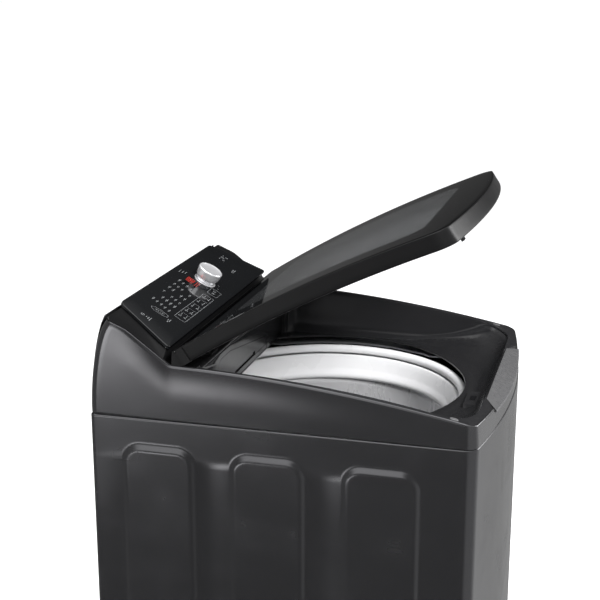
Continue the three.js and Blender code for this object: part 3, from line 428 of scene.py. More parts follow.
def top_cover(b):
    """The cover as sheets: outer wall with a rolled top edge; rim and recess, whose inner
    outline is lofted from the rim to the round opening; hinge trough, shelf, drawer wall
    and rear."""
    outer, part, n = cover_columns(b)
    normal = outward(outer)
    y0 = outer[:, 1]
    behind = np.clip((y0 - b.pivot_y - 18) / (b.hd - b.pivot_y - 18), 0, 1)
    y_top = y0 - b.rear_lean * behind
    scoop = 1 - ease(169.5, 173.5, outer[:, 0])
    scoop[y0 > -b.hd + 60] = 0
    top = np.where(y0 > b.pivot_y - 10, b.side_top(y_top), b.rim(y0))
    top = scoop * scoop_floor(b, y0) + (1 - scoop) * top
    fade = 1 - ease(b.hd - 140, b.hd - 10, y0)
    tuck, re = 3.4, 2.6
    z_low = b.seam + 0.4
    rows = []
    for f in np.concatenate([[0, 0.007, 0.014, 0.03], np.linspace(0.1, 0.5, 4), np.linspace(0.6, 1, 11)]):
        z = z_low + (top - re - z_low) * f
        inset = tuck * fade * (1 - np.clip((top - z) / 55, 0, 1)) ** 2 + {0: 0.8, 0.007: 0.15}.get(f, 0)
        g = rear_lean(b, z_low + (float(b.edge(b.rear_top)) - z_low) * f) / b.rear_lean
        y = y0 + (y_top - y0) * g
        rows.append(np.column_stack([outer[:, 0], y, z]) - np.column_stack([normal * inset[:, None], 0 * z]))
    crest = np.column_stack([outer[:, 0], y_top, top]) - np.column_stack([normal * (tuck * fade)[:, None], 0 * top])
    for k in range(1, 6):
        a = k / 5 * math.pi / 2
        q = crest - np.column_stack([normal * re * (1 - math.cos(a)), np.full(len(top), re * (1 - math.sin(a)))])
        rows.append(q)
    wall = np.stack(rows)
    sheets = [grid(mirrored_sheet(wall))]

    # rim and recess
    m = n["inner"]
    start = wall[-1, :m]
    top_in = recess_at(b, part, np.full(m, b.seam + 60.0))
    z_in = b.rim(top_in[:, 1])
    z_in = scoop[:m] * scoop_floor(b, top_in[:, 1]) + (1 - scoop[:m]) * z_in
    edge = np.column_stack([recess_at(b, part, z_in), z_in])
    d = edge[:, :2] - start[:, :2]
    width = np.linalg.norm(d, axis=1)[:, None]
    d /= width
    ri = np.minimum(5.0, width * 0.8)
    rows = [start]
    for f in (0.35, 0.7):
        q = start + (edge - start) * f * (1 - ri / width)
        rows.append(q)
    for k in range(6):
        a = k / 5 * math.pi / 2
        q = edge.copy()
        q[:, :2] -= d * ri * (1 - math.sin(a))
        q[:, 2] -= ri[:, 0] * (1 - math.cos(a))
        rows.append(q)
    for f in np.linspace(0, 1, 22)[1:] ** 0.85:
        z = edge[:, 2] - ri[:, 0] + (b.seam + 1 - edge[:, 2] + ri[:, 0]) * f
        rows.append(np.column_stack([recess_at(b, part, z), z]))
    foot = rows[-1]
    rows += hole_rows(b, foot)
    sheets.append(grid(mirrored_sheet(np.stack(rows))))

    # hinge trough sides, behind the recess
    k0, k1 = m - 1, n["all"] - 8
    s = wall[-1, k0:k1]
    floor = np.where(s[:, 1] < b.pivot_y + 27, b.shelf, s[:, 2] - 12)
    x_in = np.full(len(s), b.hw - 3.8 - 1.6)
    rows = [s, np.column_stack([x_in + 0.4, s[:, 1], s[:, 2]]), np.column_stack([x_in, s[:, 1], s[:, 2] - 0.6]),
            np.column_stack([x_in, s[:, 1], floor])]
    left, right = mirrored_sheet(np.stack(rows))
    sheets += [grid(left), grid(right)]

    # rear corner arcs of the recess below the shelf
    q = np.linspace(48.6, 90, 7) * DEG
    zs = np.concatenate([[b.shelf], b.shelf - 3 + (b.seam + 1 - b.shelf + 3) * np.linspace(0, 1, 14)])
    c = recess_at(b, [("b", 0.0)], zs[:, None])[:, 0, 0] - 24
    p = np.stack([c[:, None] + 24 * np.cos(q), np.broadcast_to(b.chord - 24 + 24 * np.sin(q), (len(zs), 7)),
                  np.broadcast_to(zs[:, None], (len(zs), 7))], -1)
    p = np.concatenate([p, np.stack(hole_rows(b, p[-1]))])
    left, right = mirrored_sheet(p)
    sheets += [grid(left), grid(right)]

    # shelf, with its front edge rounded over the rear wall
    x = np.concatenate([[0, 80, 160, 220], b.hw - 37 + 24 * np.sin(np.linspace(0, 41.4, 8) * DEG),
                        [b.hw - 18, b.hw - 10, b.hw - 5.4]])
    xc = b.hw - 37
    ys = np.where(x <= xc, b.chord, np.where(x <= xc + 15.95,
                  b.chord - 24 + np.sqrt(np.maximum(576 - np.maximum(x - xc, 0) ** 2, 0)), b.chord - 6))
    p = np.stack([np.column_stack([x, ys + dy, np.full(len(x), b.shelf - dz)])
                  for dy, dz in ((0, 3), (0.5, 1.2), (1.4, 0.3), (3, 0))]
                 + [np.column_stack([x, np.full(len(x), b.pivot_y + 30), np.full(len(x), b.shelf)])])
    sheets.append(grid(mirrored_sheet(p)))
    step = np.stack([np.array([[xx, b.chord - 6, b.shelf] for xx in (xc + 15.9, b.hw - 5.4)]),
                     np.array([[xx, b.chord - 6, b.rim(b.chord - 6)] for xx in (xc + 15.9, b.hw - 5.4)])])
    left, right = mirrored_sheet(step)
    sheets += [grid(left, flip=True), grid(right, flip=True)]

    # drawer wall around the dispenser's mouth
    hole, rect = ring_between(drawer_outline(b, 0.4), -xc, xc, b.seam + 1, b.shelf - 3)
    p = np.stack([np.column_stack([hole[:, 0], np.full(len(hole), b.chord + 9), hole[:, 1]]),
                  np.column_stack([hole[:, 0], np.full(len(hole), b.chord + 1), hole[:, 1]]),
                  np.column_stack([hole[:, 0] * 1.003, np.full(len(hole), b.chord), hole[:, 1]]),
                  np.column_stack([rect[:, 0], np.full(len(hole), b.chord), rect[:, 1]])])
    sheets.append(grid(p, loop_u=True, flip=True))

    # rear, leaning forward, around the valve plate's window
    xr = outer[-1, 0]
    top_z = float(b.side_top(b.rear_top))
    hole, rect = ring_between(rounded_box(-234, 234, b.seam + 22, b.seam + 74, 6), -xr, xr, z_low, top_z)
    rows = []
    for f in (0, 0.04, 0.12, 0.25, 0.4, 0.55, 0.7, 0.85, 1):
        q = hole + (rect - hole) * f
        rows.append(np.column_stack([q[:, 0], b.hd - rear_lean(b, q[:, 1]), q[:, 1]]))
    rows.insert(0, rows[0] - np.array([0, 9, 0]))
    sheets.append(grid(np.stack(rows), loop_u=True))
    return sheets


def hole_rows(b, foot):
    """From the foot of the recess to the round opening in the deck and over its lip. The
    angle of each column is kept, and the last column ends where the chord cuts the round."""
    r = 258.0
    ang = np.arctan2(foot[:, 1], foot[:, 0])
    end = math.atan2(b.chord, b.hw - 21 - 24)
    cut = math.asin(b.chord / r)
    ang = np.where(ang > 0, ang + (cut - end) * ease(0, end, ang), ang)
    r = r - 15 * ease(15 * DEG, 65 * DEG, -ang)
    rows = []
    for f, rr, dz in ((0.5, r + 3, 0), (1, r + 1.5, 0), (1, r + 0.4, 0.5), (1, r, 1.6), (1, r, 4)):
        q = np.column_stack([rr * np.cos(ang), np.minimum(rr * np.sin(ang), b.chord)])
        q = foot[:, :2] + (q - foot[:, :2]) * f
        rows.append(np.column_stack([q, np.full(len(q), b.seam + 1 - dz)]))
    return rows


def drawer_outline(b, off):
    """Mouth of the detergent dispenser in X and Z: one round corner, top falling to the right."""
    x0, x1, z0, z1, r = -160 - off, 134 + off, b.seam + 4 - off, b.seam + 71 + off, 30 + off
    return np.concatenate([[(x0, z0), (x1, z0), (x1, z1 - 40), (x1 - 6, z1 - 33), (-84, z1)],
                           arc(x0 + r, z1 - r, r, 90, 180, 8)])


def ring_between(hole, x0, x1, z0, z1):
    """Matching points on an outline and on the rectangle around it, found along rays from
    the middle; the rectangle's corners get rays of their own."""
    c = np.array([(hole[:, 0].min() + hole[:, 0].max()) / 2, (hole[:, 1].min() + hole[:, 1].max()) / 2])
    closed = np.concatenate([hole, hole[:1]])
    fine = np.concatenate([line(closed[i], closed[i + 1], 30)[:-1] for i in range(len(hole))])
    ang = np.arctan2(fine[:, 1] - c[1], fine[:, 0] - c[0])
    rad = np.hypot(*(fine - c).T)
    order = np.argsort(ang)
    ang, rad = ang[order], rad[order]
    corners = [math.atan2(z - c[1], x - c[0]) for x in (x0, x1) for z in (z0, z1)]
    own = np.arctan2(hole[:, 1] - c[1], hole[:, 0] - c[0])
    even = np.linspace(-math.pi, math.pi, 120, endpoint=False)
    a = np.unique(np.round(np.concatenate([even, corners, own]), 6))
    rh = np.interp(a, ang, rad, period=2 * math.pi)
    ca, sa = np.cos(a), np.sin(a)
    with np.errstate(divide="ignore"):
        rx = np.where(ca > 0, (x1 - c[0]) / ca, (x0 - c[0]) / ca)
        rz = np.where(sa > 0, (z1 - c[1]) / sa, (z0 - c[1]) / sa)
    rr = np.minimum(np.where(np.abs(ca) < 1e-9, 1e9, rx), np.where(np.abs(sa) < 1e-9, 1e9, rz))
    d = np.column_stack([ca, sa])
    return c + d * rh[:, None], c + d * rr[:, None]


def lid_levels(b):
    """Bottom and top of the shut lid as functions of depth: both follow the rim, and the
    top bends down behind the hinge."""
    top_z = b.pivot_z + 16

    def bottom(x, y):
        return b.rim(np.minimum(y, b.pivot_y - 12)) + 0.8 + 0.3 * ease(b.pivot_y - 12, b.pivot_y + 19, y)

    def top(x, y):
        flat = b.rim(np.minimum(y, b.pivot_y - 12)) + 0.8 + b.lid_t
        flat = flat + (top_z - flat) * ease(b.pivot_y - 12, b.pivot_y + 6, y)
        return flat - 19 * np.clip((y - b.pivot_y - 6) / 15, 0, 1)

    return bottom, top


LID_COUNTS = (34, 16, 40, 6, 24)


def lid_outline(b, off, rear):
    """Right half of the lid's outline: bowed front, corner, side, small rear corner, rear."""
    counts, corner = LID_COUNTS, 34
    r, cy0 = b.bow_circle()
    cx, cy, lean = b.front_corner(corner)
    hw = b.hw - off
    return np.concatenate([
        arc(0, cy0, r - off, 270, 270 + lean, counts[0])[:-1],
        arc(cx, cy, corner - off, 270 + lean, 360, counts[1]),
        line((hw, cy), (hw, rear - 2), counts[2])[1:-1],
        arc(hw - 2, rear - 2, 2, 0, 90, counts[3]),
        line((hw - 2, rear), (0, rear), counts[4])[1:]])


def lid_window(b):
    """Right half of the opening in the lid's frame, with as many points per part."""
    counts = LID_COUNTS
    x, y0, y1, r = 205, -b.hd + 74, b.pivot_y - 84, 40
    return np.concatenate([
        line((0, y0), (x - r, y0), counts[0])[:-1], arc(x - r, y0 + r, r, -90, 0, counts[1]),
        line((x, y0 + r), (x, y1 - r), counts[2])[1:-1], arc(x - r, y1 - r, r, 0, 90, counts[3]),
        line((x - r, y1), (0, y1), counts[4])[1:]])


def lid_frame(b):
    """Tray section carried round the lid: the section runs from the bottom's outer edge up
    the side, over the rim to the glass seat, down into the pocket and out to the window."""
    bottom, top = lid_levels(b)
    rear = b.pivot_y - 15
    out, win = both_sides(lid_outline(b, 0, rear)), both_sides(lid_window(b))
    normal = outward(out, closed=True)
    section = []
    for k in range(6):
        a = k / 5 * math.pi / 2
        section.append((3.5 * (1 - math.sin(a)), "b", 3.5 * (1 - math.cos(a))))
    section += [(0, "b", 9), (0, "b", 16), (0, "t", -3), (0, "t", -1), (0.15, "t", -0.45), (0.5, "t", -0.1),
                (0.9, "t", 0), (1.4, "t", -0.1), (1.45, "t", -4.3), (7, "t", -4.4), (7.2, "t", -5), (8, "b", 4.6),
                (9, "b", 4)]
    rows = []
    for d, side, h in section:
        q = out - normal * d
        z = (bottom if side == "b" else top)(q[:, 0], q[:, 1]) + h
        rows.append(np.column_stack([q, z]))
    seat = out - normal * 9
    under = out - normal * 3.5
    for f, side, h, base in ((0.5, "b", 4, seat), (1, "b", 4, seat), (1, "b", 3, seat), (1, "b", 1, under),
                             (0.985, "b", 0.1, under), (0.5, "b", 0, under)):
        q = base + (win - base) * f
        rows.append(np.column_stack([q, bottom(q[:, 0], q[:, 1]) + h]))
    p = b.opened(np.stack(rows))
    return [grid(p, loop_u=True, loop_v=True)]


def lid_bars(b):
    """Three bars behind the frame, cut by the hinge slots: one section pushed along X, the
    outer ends stepped in where they drop into the hinge trough."""
    y0, py, pz = b.pivot_y - 15, b.pivot_y, b.pivot_z
    bottom, top = lid_levels(b)
    zb = float(bottom(0, np.array(y0)))
    zt = float(top(0, np.array(y0)))
    section = filleted([(y0, zb), (py + 18, zb + 0.4), (py + 20.6, pz - 3), (py + 6, pz + 15.9),
                        (py + 2.4, pz + 15.9), (py + 2.3, pz + 11.6), (y0, zt - 4.3)], 2.2, 5, closed=True)
    sheets = []
    c = section.mean(0)
    for x0, x1 in ((-b.hw + 4.5, -157.5), (-142.5, 142.5), (157.5, b.hw - 4.5)):
        rows = []
        for x, f in ((x0, 0), (x0, 0.97), (x0 + 0.5, 1), (x0 + 30, 1),
                     (x1 - 30, 1), (x1 - 0.5, 1), (x1, 0.97), (x1, 0)):
            q = c + (section - c) * f
            rows.append(np.column_stack([np.full(len(q), x), q]))
        sheets.append(grid(b.opened(np.stack(rows)), loop_u=True))
    for side in (-1, 1):
        xs = (b.hw - 6, b.hw - 5.9, b.hw - 0.6, b.hw, b.hw)
        block = rounded_box(y0, py - 1.5, zb, zt - 0.2, 1.2, 4, 4)
        c = block.mean(0)
        rows = [np.column_stack([np.full(len(block), side * x), c + (block - c) * f])
                for x, f in zip(xs, (0, 1, 1, 0.97, 0))]
        sheets.append(grid(b.opened(np.stack(rows)), loop_u=True))
    return sheets


def lid_glass(b):
    """Pane over the lid, following the rim's curve, with a rounded edge."""
    top = lid_levels(b)[1]
    o = both_sides(lid_outline(b, 1.7, b.pivot_y + 2))
    p, q = slab(o, top, lambda x, y: top(x, y) - 4, r=0.9, rings=24, middle=(0, -70))
    return [(b.opened(p), q)]


PANEL = {"hw": 262.9, "hw_rear": 224.2, "length": 114.7, "thick": 5.0, "front_r": 5, "rear_r": 16}
PANEL_COUNTS = (18, 6, 16, 8, 16)
KNOB = (50, 58)


def panel_half(off):
    """Right half of the control panel's outline in its own plane: front edge, small front
    corner, leaning side, round rear corner, rear edge. off moves it outwards."""
    g, counts, r0, r1 = PANEL, PANEL_COUNTS, PANEL["front_r"], PANEL["rear_r"]
    lean = math.degrees(math.atan((g["hw"] - g["hw_rear"]) / g["length"]))
    a, c = max(r0 + off, 0.5), max(r1 + off, 1)
    x0, x1 = g["hw"] - r0, g["hw_rear"] + 2.5 - r1
    s0, s1 = r0, g["length"] - r1
    front = arc(x0, s0, a, -90, lean, counts[1])
    back = arc(x1, s1, c, lean, 90, counts[3])
    return np.concatenate([line((0, s0 - a), front[0], counts[0])[:-1], front,
                           line(front[-1], back[0], counts[2])[1:-1], back,
                           line(back[-1], (0, s1 + c), counts[4])[1:]])


def console(b):
    """Loft from the cover's edge to the seat under the panel, hollowed a little on the way,
    closed above and below."""
    n = PANEL_COUNTS
    y0, y1 = b.pivot_y + 26.4, b.rear_top - 1.2

    def x_at(y):
        upright = y + b.rear_lean * (y - b.pivot_y - 18) / 107
        return b.hw - 0.9 - 3.4 * (1 - ease(b.hd - 140, b.hd - 10, upright))

    side_y = np.linspace(y0 + 3, y1 - 7, n[2] + 1)
    front = line((0, y0, b.shelf + 0.6), (b.hw - 7, y0, b.shelf + 0.6), n[0])[:-1]
    zc = float(b.edge(y0 + 3)) - 1.5
    turn = line((b.hw - 6, y0, b.shelf + 0.6), (float(x_at(y0 + 3)), y0 + 3, zc), n[1])
    side = np.column_stack([x_at(side_y), side_y, b.side_top(side_y) - 1.5])[1:-1]
    a = np.linspace(0, 90, n[3]) * DEG
    xr, yr = float(x_at(y1 - 7)) - 7, y1 - 7
    back = np.column_stack([xr + 7 * np.cos(a), yr + 7 * np.sin(a), b.side_top(yr + 7 * np.sin(a)) - 1.5])
    rear = line((xr, y1, float(b.side_top(y1)) - 1.5), (0, y1, float(b.side_top(y1)) - 1.5), n[4])[1:]
    half = np.concatenate([front, turn, side[:n[2] - 2], back, rear])
    left = half[::-1].copy()
    left[:, 0] *= -1
    base = np.concatenate([half, left[1:-1]])
    flat = both_sides(panel_half(-6.5))
    seat = b.on_panel(flat[:, 0], flat[:, 1], -PANEL["thick"] - 0.3)
    rows = []
    mid = base.mean(0)
    rows.append(np.broadcast_to(mid, base.shape).copy())
    for f in (0.5, 1):
        rows.append(mid + (base - mid) * f)
    up = base.copy()
    up[:, 2] += 1.9
    for t in (0, 0.05, 0.15, 0.3, 0.45, 0.6, 0.75, 0.88, 0.96, 1):
        q = up + (seat - up) * t
        q[:, 2] -= 1.6 * math.sin(math.pi * t)
        rows.append(q)
    c = seat.mean(0)
    for f in (0.98, 0.5, 0):
        rows.append(c + (seat - c) * f)
    return [grid(np.stack(rows), loop_u=True)]


def panel_plate(b):
    """Control panel as a slab with a rounded edge, laid on its slope."""
    o = both_sides(panel_half(0))
    p, q = slab(o, lambda x, y: 0 * x, lambda x, y: 0 * x - PANEL["thick"], r=1.1, rings=6, middle=(0, 55))
    return [(b.on_panel(p[:, 0], p[:, 1], p[:, 2]), q)]


def strip(outer, inner, lift):
    """Flat band between two outlines of the panel's plane."""
    p = np.stack([np.column_stack([outer, np.full(len(outer), lift)]),
                  np.column_stack([inner, np.full(len(inner), lift)])])
    return grid(p, loop_u=True)


MARK_LIFT = 0.12


def bar(x0, x1, s0, s1, lift=MARK_LIFT, shear=0.0):
    """Small filled quad on the panel, leaning by shear."""
    return (np.array([(x0 + shear * s0, s0, lift), (x1 + shear * s0, s0, lift),
                      (x1 + shear * s1, s1, lift), (x0 + shear * s1, s1, lift)], float),
            np.array([[0, 1, 2, 3]]))


def ring(cx, cs, r0, r1, count=14):
    """Ring or, with r0 zero, a dot on the panel."""
    return strip(ring_points(cx, cs, r1, r1, count), ring_points(cx, cs, r0, r0, count), MARK_LIFT)


def outline_box(x0, x1, s0, s1, r):
    """Thin rounded frame on the panel."""
    w = 0.55
    inner = rounded_box(x0 + w, x1 - w, s0 + w, s1 - w, r - w, 4, 3)
    return strip(rounded_box(x0, x1, s0, s1, r, 4, 3), inner, MARK_LIFT)


def icon(kind, x, s):
    """Small plain marks: drop, bars, waves, clock, spiral or dots."""
    if kind == 0:
        return [ring(x, s, 0, 1.7, 10), bar(x - 0.9, x + 0.9, s + 1, s + 3)]
    if kind == 1:
        return [bar(x - 3, x + 3, s + d, s + d + 0.7) for d in (-2, 0, 2)]
    if kind == 2:
        return [ring(x, s, 1.9, 2.6, 12), bar(x - 0.3, x + 0.3, s, s + 1.6), bar(x, x + 1.3, s - 0.3, s + 0.3)]
    if kind == 3:
        return [bar(x - 3.2, x + 3.2, s - 0.4, s + 0.5), bar(x - 2, x + 2, s + 1.4, s + 2.1)]
    return [ring(x + d, s, 0, 0.8, 8) for d in (-2.4, 0, 2.4)]


def panel_prints(b):
    """Light marks printed on the panel: key field, icon grid, oval, power and start marks."""
    out = [outline_box(-152, -3, 17, 39, r=3), outline_box(10, 40, 17, 38, r=3)]
    for k in range(1, 5):
        x = -152 + 149 * k / 5
        out.append(bar(x - 0.2, x + 0.2, 19, 37))
    for k in range(5):
        for j in range(2):
            x, s = -137 + k * 29.8, 22.5 + j * 10
            out += icon((k + j) % 4, x, s + 0.5)
            out.append(bar(x + 5, x + 11, s, s + 0.9))
    out += icon(2, 20, 28) + [bar(27, 35, 27, 28), bar(27, 33, 30, 30.9)]
    for row in range(5):
        for col in range(6):
            x, s = -148 + col * 25 + row * 2.2, 50 + row * 9
            if (row + col) % 7 == 5 or x > -14:
                continue
            w = (7, 9, 5.5, 8)[(row * 2 + col) % 4]
            out += [bar(x, x + w, s, s + 1.1), bar(x, x + w * 0.7, s + 2, s + 2.8)]
            out.append(ring(x - 3, s + 1.4, 0, 0.9, 8))
    for rx, rs, w in ((8, 17, 0.6), (4, 9, 0.4)):
        out.append(strip(ring_points(-170, 60, rx, rs), ring_points(-170, 60, rx - w, rs - w), MARK_LIFT))
    out += [bar(-171.5, -168.5, 54 + k * 4, 54.8 + k * 4) for k in range(4)]
    for k in range(3):
        out.append(bar(-222 + k * 3, -208 - k * 2, 58 + k * 4, 59.2 + k * 4))
    out += [ring(-214, 74, 2.6, 3.4, 16), bar(-214.4, -213.6, 73, 78)]
    out += [bar(-183, -173, 35, 36.2), bar(-183, -176, 38.4, 39.4), ring(-186.5, 37.4, 0, 1.4, 8)]
    out += [bar(165, 177, 37, 38.2), bar(165, 174, 40.5, 41.5), ring(160.5, 39.2, 1.4, 2.2, 12)]
    for k in range(3):
        out.append(ring(187 + 10 * k, 70 + (k % 2) * 4, 1.6, 2.3, 12))
        out.append(bar(184 + 10 * k, 190 + 10 * k, 78, 79))
    for k in range(9):
        a = (150 + k * 30) * DEG
        x, s = KNOB[0] + 29 * math.cos(a), KNOB[1] + 29 * math.sin(a)
        out.append(bar(x - 0.4, x + 0.4, s - 1.6, s + 1.6))
    for k in range(3):
        out.append(bar(27 - k * 3, 39 - k * 3, 92 + k * 5, 93 + k * 5))
    return [(b.on_panel(p[:, 0], p[:, 1], p[:, 2]), q) for p, q in out]


def ring_points(cx, cs, rx, rs, count=28):
    """Points on an ellipse of the panel's plane."""
    a = np.linspace(0, 2 * math.pi, count, endpoint=False)
    return np.column_stack([cx + rx * np.cos(a), cs + rs * np.sin(a)])


def display_digits(b):
    """Seven-segment figures standing on the slope, a little slanted."""
    lit = {"0": "abcdef", "1": "bc", "4": "fgbc", "8": "abcdefg", "5": "afgcd"}
    out = []
    w, h, t = 4.3, 15.0, 1.05
    for k, figure in enumerate("1480"):
        x, s = 1.5 + k * 6.1, 68.0
        spans = {"a": (0, w, h - t, h), "g": (0, w, h / 2 - t / 2, h / 2 + t / 2), "d": (0, w, 0, t),
                 "f": (0, t, h / 2, h), "b": (w - t, w, h / 2, h), "e": (0, t, 0, h / 2), "c": (w - t, w, 0, h / 2)}
        for name in lit[figure]:
            x0, x1, s0, s1 = spans[name]
            p, q = bar(x0, x1, s0, s1, 0.26, 0.1)
            p[:, 0] += x
            p[:, 1] += s
            out.append((p, q))
    out += [bar(3 + k * 6, 7 + k * 6, z, z + 1.2, 0.26) for k in range(4) for z in (58.0, 62.0)]
    return [(b.on_panel(p[:, 0], p[:, 1], p[:, 2]), q) for p, q in out]


def on_slope(b, sheet, x, s):
    """A sheet drawn about the origin, set on the slope at (x, s)."""
    p, q = sheet
    return b.on_panel(p[:, 0] + x, p[:, 1] + s, p[:, 2]), q


def knob_shape(b):
    """Turned knob: narrow foot, flaring polished side, rounded rim, shallow satin dish."""
    side = filleted([(0, 1.6), (16.8, 1.6), (17.2, 5), (20.4, 8), (21.9, 13), (22.95, 23.6), (22.6, 25.2),
                     (21.2, 26)], 1.6, 6)
    dish = [(21.2, 26), (20.2, 25.9), (19.4, 25.3), (18.6, 24.9), (12, 24.6), (6, 24.45), (0, 24.4)]
    return [on_slope(b, turned(profile, 96), *KNOB) for profile in (side, dish)]


def bead_ring():
    """Section of the outer tub's cover ring."""
    z = 815
    loop = [(260, z + 0.3), (260, z + 6), (250, z + 9), (249.5, z + 15), (245, z + 22.3), (238, z + 22.3),
            (232.4, z + 17), (232.4, z + 8.8), (242, z + 8.6), (247, z + 0.3)]
    return [turned(filleted(loop, 3.4, 6, closed=True), 160, closed=True)]


def balance_ring():
    """Section of the basket's balance ring: sloping inner face over a bulging foot."""
    z = 776
    loop = [(222, z + 0.3), (237.5, z + 6), (238.6, z + 40), (234, z + 45.6), (229.5, z + 45), (226, z + 38),
            (219.5, z + 21), (216.2, z + 15), (213.8, z + 10), (213.6, z + 5.5), (216.5, z + 0.6)]
    return [turned(filleted(loop, 2.6, 6, closed=True), 160, closed=True)]


def basket_wall():
    """Steel wall with upright drainage ridges: radius less a row of rounded ridges, faded
    out at the top and foot, down to a flat rim on the floor."""
    z = np.concatenate([[306, 306.2], 306 + 15 * (1 - np.cos(np.linspace(15, 90, 7) * DEG)),
                        np.linspace(330, 372, 6), np.linspace(400, 700, 8), np.linspace(716, 752, 6), [764, 775.8]])
    r = np.interp(z, [306, 306.2, 309.5, 321, 1000], [206, 212, 217, 221.6, 221.6])
    a = np.linspace(0, 2 * math.pi, 432, endpoint=False)
    ridge = np.clip(np.cos(a * 24) * 2.2 - 1.0, 0, 1) ** 0.7 * 1.6
    fade = ease(334, 366, z) * (1 - ease(560, 620, z))
    rr = r[:, None] - ridge * fade[:, None]
    p = np.stack([rr * np.cos(a), rr * np.sin(a), np.broadcast_to(z[:, None], rr.shape)], -1)
    return [grid(p, loop_u=True, flip=True)]


def pulsator_shape():
    """Disc with six curved fins: a shallow dish plus a rounded ridge along each spiral arm,
    tallest near the hub."""
    r = np.concatenate([[7], np.linspace(30, 160, 34), [164, 167.5, 170, 171.6, 172]])
    a = np.linspace(0, 2 * math.pi, 240, endpoint=False)
    base = np.interp(r, [0, 34, 60, 103, 150, 166, 172], [333, 333, 327, 323.2, 325, 326.6, 323])
    arm = a[None, :] - 0.0032 * (r[:, None] - 30) - 5 * DEG
    off = (np.mod(arm + math.pi / 6, math.pi / 3) - math.pi / 6) * r[:, None]
    tall = 16 * ease(28, 44, r) * (1 - ease(96, 160, r))
    z = base[:, None] + tall[:, None] * np.exp(-(off / 7.5) ** 2)
    z = np.minimum(z, 341.8)
    p = np.stack([r[:, None] * np.cos(a), r[:, None] * np.sin(a), z], -1)
    under = [(172, 318), (164, 312.2), (7, 312)]
    low = np.stack([np.column_stack([rr * np.cos(a), rr * np.sin(a), np.full(len(a), zz)]) for rr, zz in under])
    return [grid(np.concatenate([p, low]), loop_u=True, loop_v=True)]


def foot_shape(x, y):
    """Turned rubber foot with a threaded stem above it: the stem's radius follows a saw
    wave of the height."""
    pad = filleted([(0, 0), (21.5, 0), (24, 2.6), (24, 9), (18, 13.6), (11, 15), (11, 22.8), (6, 23)], 1.2, 4)
    z = np.linspace(23, 73, 67)
    stem = np.column_stack([5.9 - 0.55 * np.abs(np.mod(z, 1.5) / 0.75 - 1), z])
    return turned(np.concatenate([pad, stem, [(4.6, 74), (0, 74)]]), 40, x, y)


def scoop_shape(b):
    """Insert in the finger scoop: a thin slab between the sloping floor and a shallow
    hollow above it, ends cut along the scoop's flare."""
    y_in = -b.hd + 30.8
    r, cy0 = b.bow_circle(0.5)
    x = np.linspace(-169.5, 169.5, 61)
    front = np.column_stack([x, cy0 - np.sqrt(r * r - x * x)])
    back = np.column_stack([x * 139.4 / 169.5, np.full(61, y_in)])[::-1]
    right = line(front[-1], back[0], 8)[1:-1]
    left = line(back[-1], front[0], 8)[1:-1]
    o = np.concatenate([front, right, back, left])

    def top(x, y):
        dip = 0.66 * (1 - np.clip(np.abs(x) / 150, 0, 1) ** 4)
        return scoop_floor(b, y) + 2.9 - dip * ease(y_in, y_in - 12, y)

    return [slab(o, top, lambda x, y: scoop_floor(b, y) + 0.25, r=1.0, rings=8, middle=(0, -b.hd + 17))]


def bumper_shape(b, side):
    """Small oval cushion on the rim, domed by a quarter circle at its edge."""
    a = np.linspace(0, 2 * math.pi, 32, endpoint=False)
    cx, cy = side * (b.hw - 13.2), -b.hd + 64
    o = np.column_stack([cx + 4.6 * np.cos(a), cy + 7 * np.sin(a)])
    return slab(o, lambda x, y: b.rim(y) + 0.62, lambda x, y: b.rim(y) - 2, r=1.6, rings=3, middle=o.mean(0))


# ---- finishes -----------------------------------------------------------------------

class Tree:
    """Short way to add shader nodes to a tree and join them up."""

    def __init__(self, tree):
        self.tree = tree

    def put(self, socket, value):
        """Links a node's output to the socket, or sets the socket to a constant."""
        if isinstance(value, bpy.types.NodeSocket):
            self.tree.links.new(value, socket)
        else:
            socket.default_value = value

    def add(self, kind, settings=None, **inputs):
        node = self.tree.nodes.new(kind if kind.startswith("Node") else "ShaderNode" + kind)
        for k, v in (settings or {}).items():
            setattr(node, k, v)
        for k, v in inputs.items():
            self.put(node.inputs[k.replace("_", " ")], v)
        return node

    def math(self, operation, *values):
        node = self.add("Math", {"operation": operation})
        for k, v in enumerate(values):
            self.put(node.inputs[k], v)
        return node.outputs[0]

    def times(self, a, b):
        return self.math("MULTIPLY", a, b)

    def plus(self, a, b):
        return self.math("ADD", a, b)

    def minus(self, a, b):
        return self.math("SUBTRACT", a, b)

    def band(self, value, a, b, low=0.0, high=1.0):
        """value mapped from a..b to low..high along an S-shaped curve, held at the ends."""
        return self.add("MapRange", {"interpolation_type": "SMOOTHSTEP"}, Value=value, From_Min=a, From_Max=b,
                        To_Min=low, To_Max=high).outputs[0]

    def mix(self, factor, a, b, blend="MIX"):
        node = self.add("Mix", {"data_type": "RGBA", "blend_type": blend})
        self.put(node.inputs[0], factor)
        self.put(node.inputs[6], a)
        self.put(node.inputs[7], b)
        return node.outputs[2]

    def noise(self, scale, detail=2.0, vector=None, stretch=None):
        """Noise over object coordinates, in features per metre, stretched per axis if asked."""
        v = vector or self.add("TexCoord").outputs["Object"]
        if stretch:
            v = self.add("Mapping", Vector=v, Scale=stretch).outputs[0]
        return self.add("TexNoise", Vector=v, Scale=scale, Detail=detail).outputs["Fac"]

    def group(self, name, **inputs):
        node = self.add("Group", {"node_tree": bpy.data.node_groups[name]})
        for k, v in inputs.items():
            self.put(node.inputs[k.replace("_", " ")], v)
        return node.outputs


def rgba(color, factor=1.0):
    return tuple(c * factor for c in color[:3]) + (1.0,)


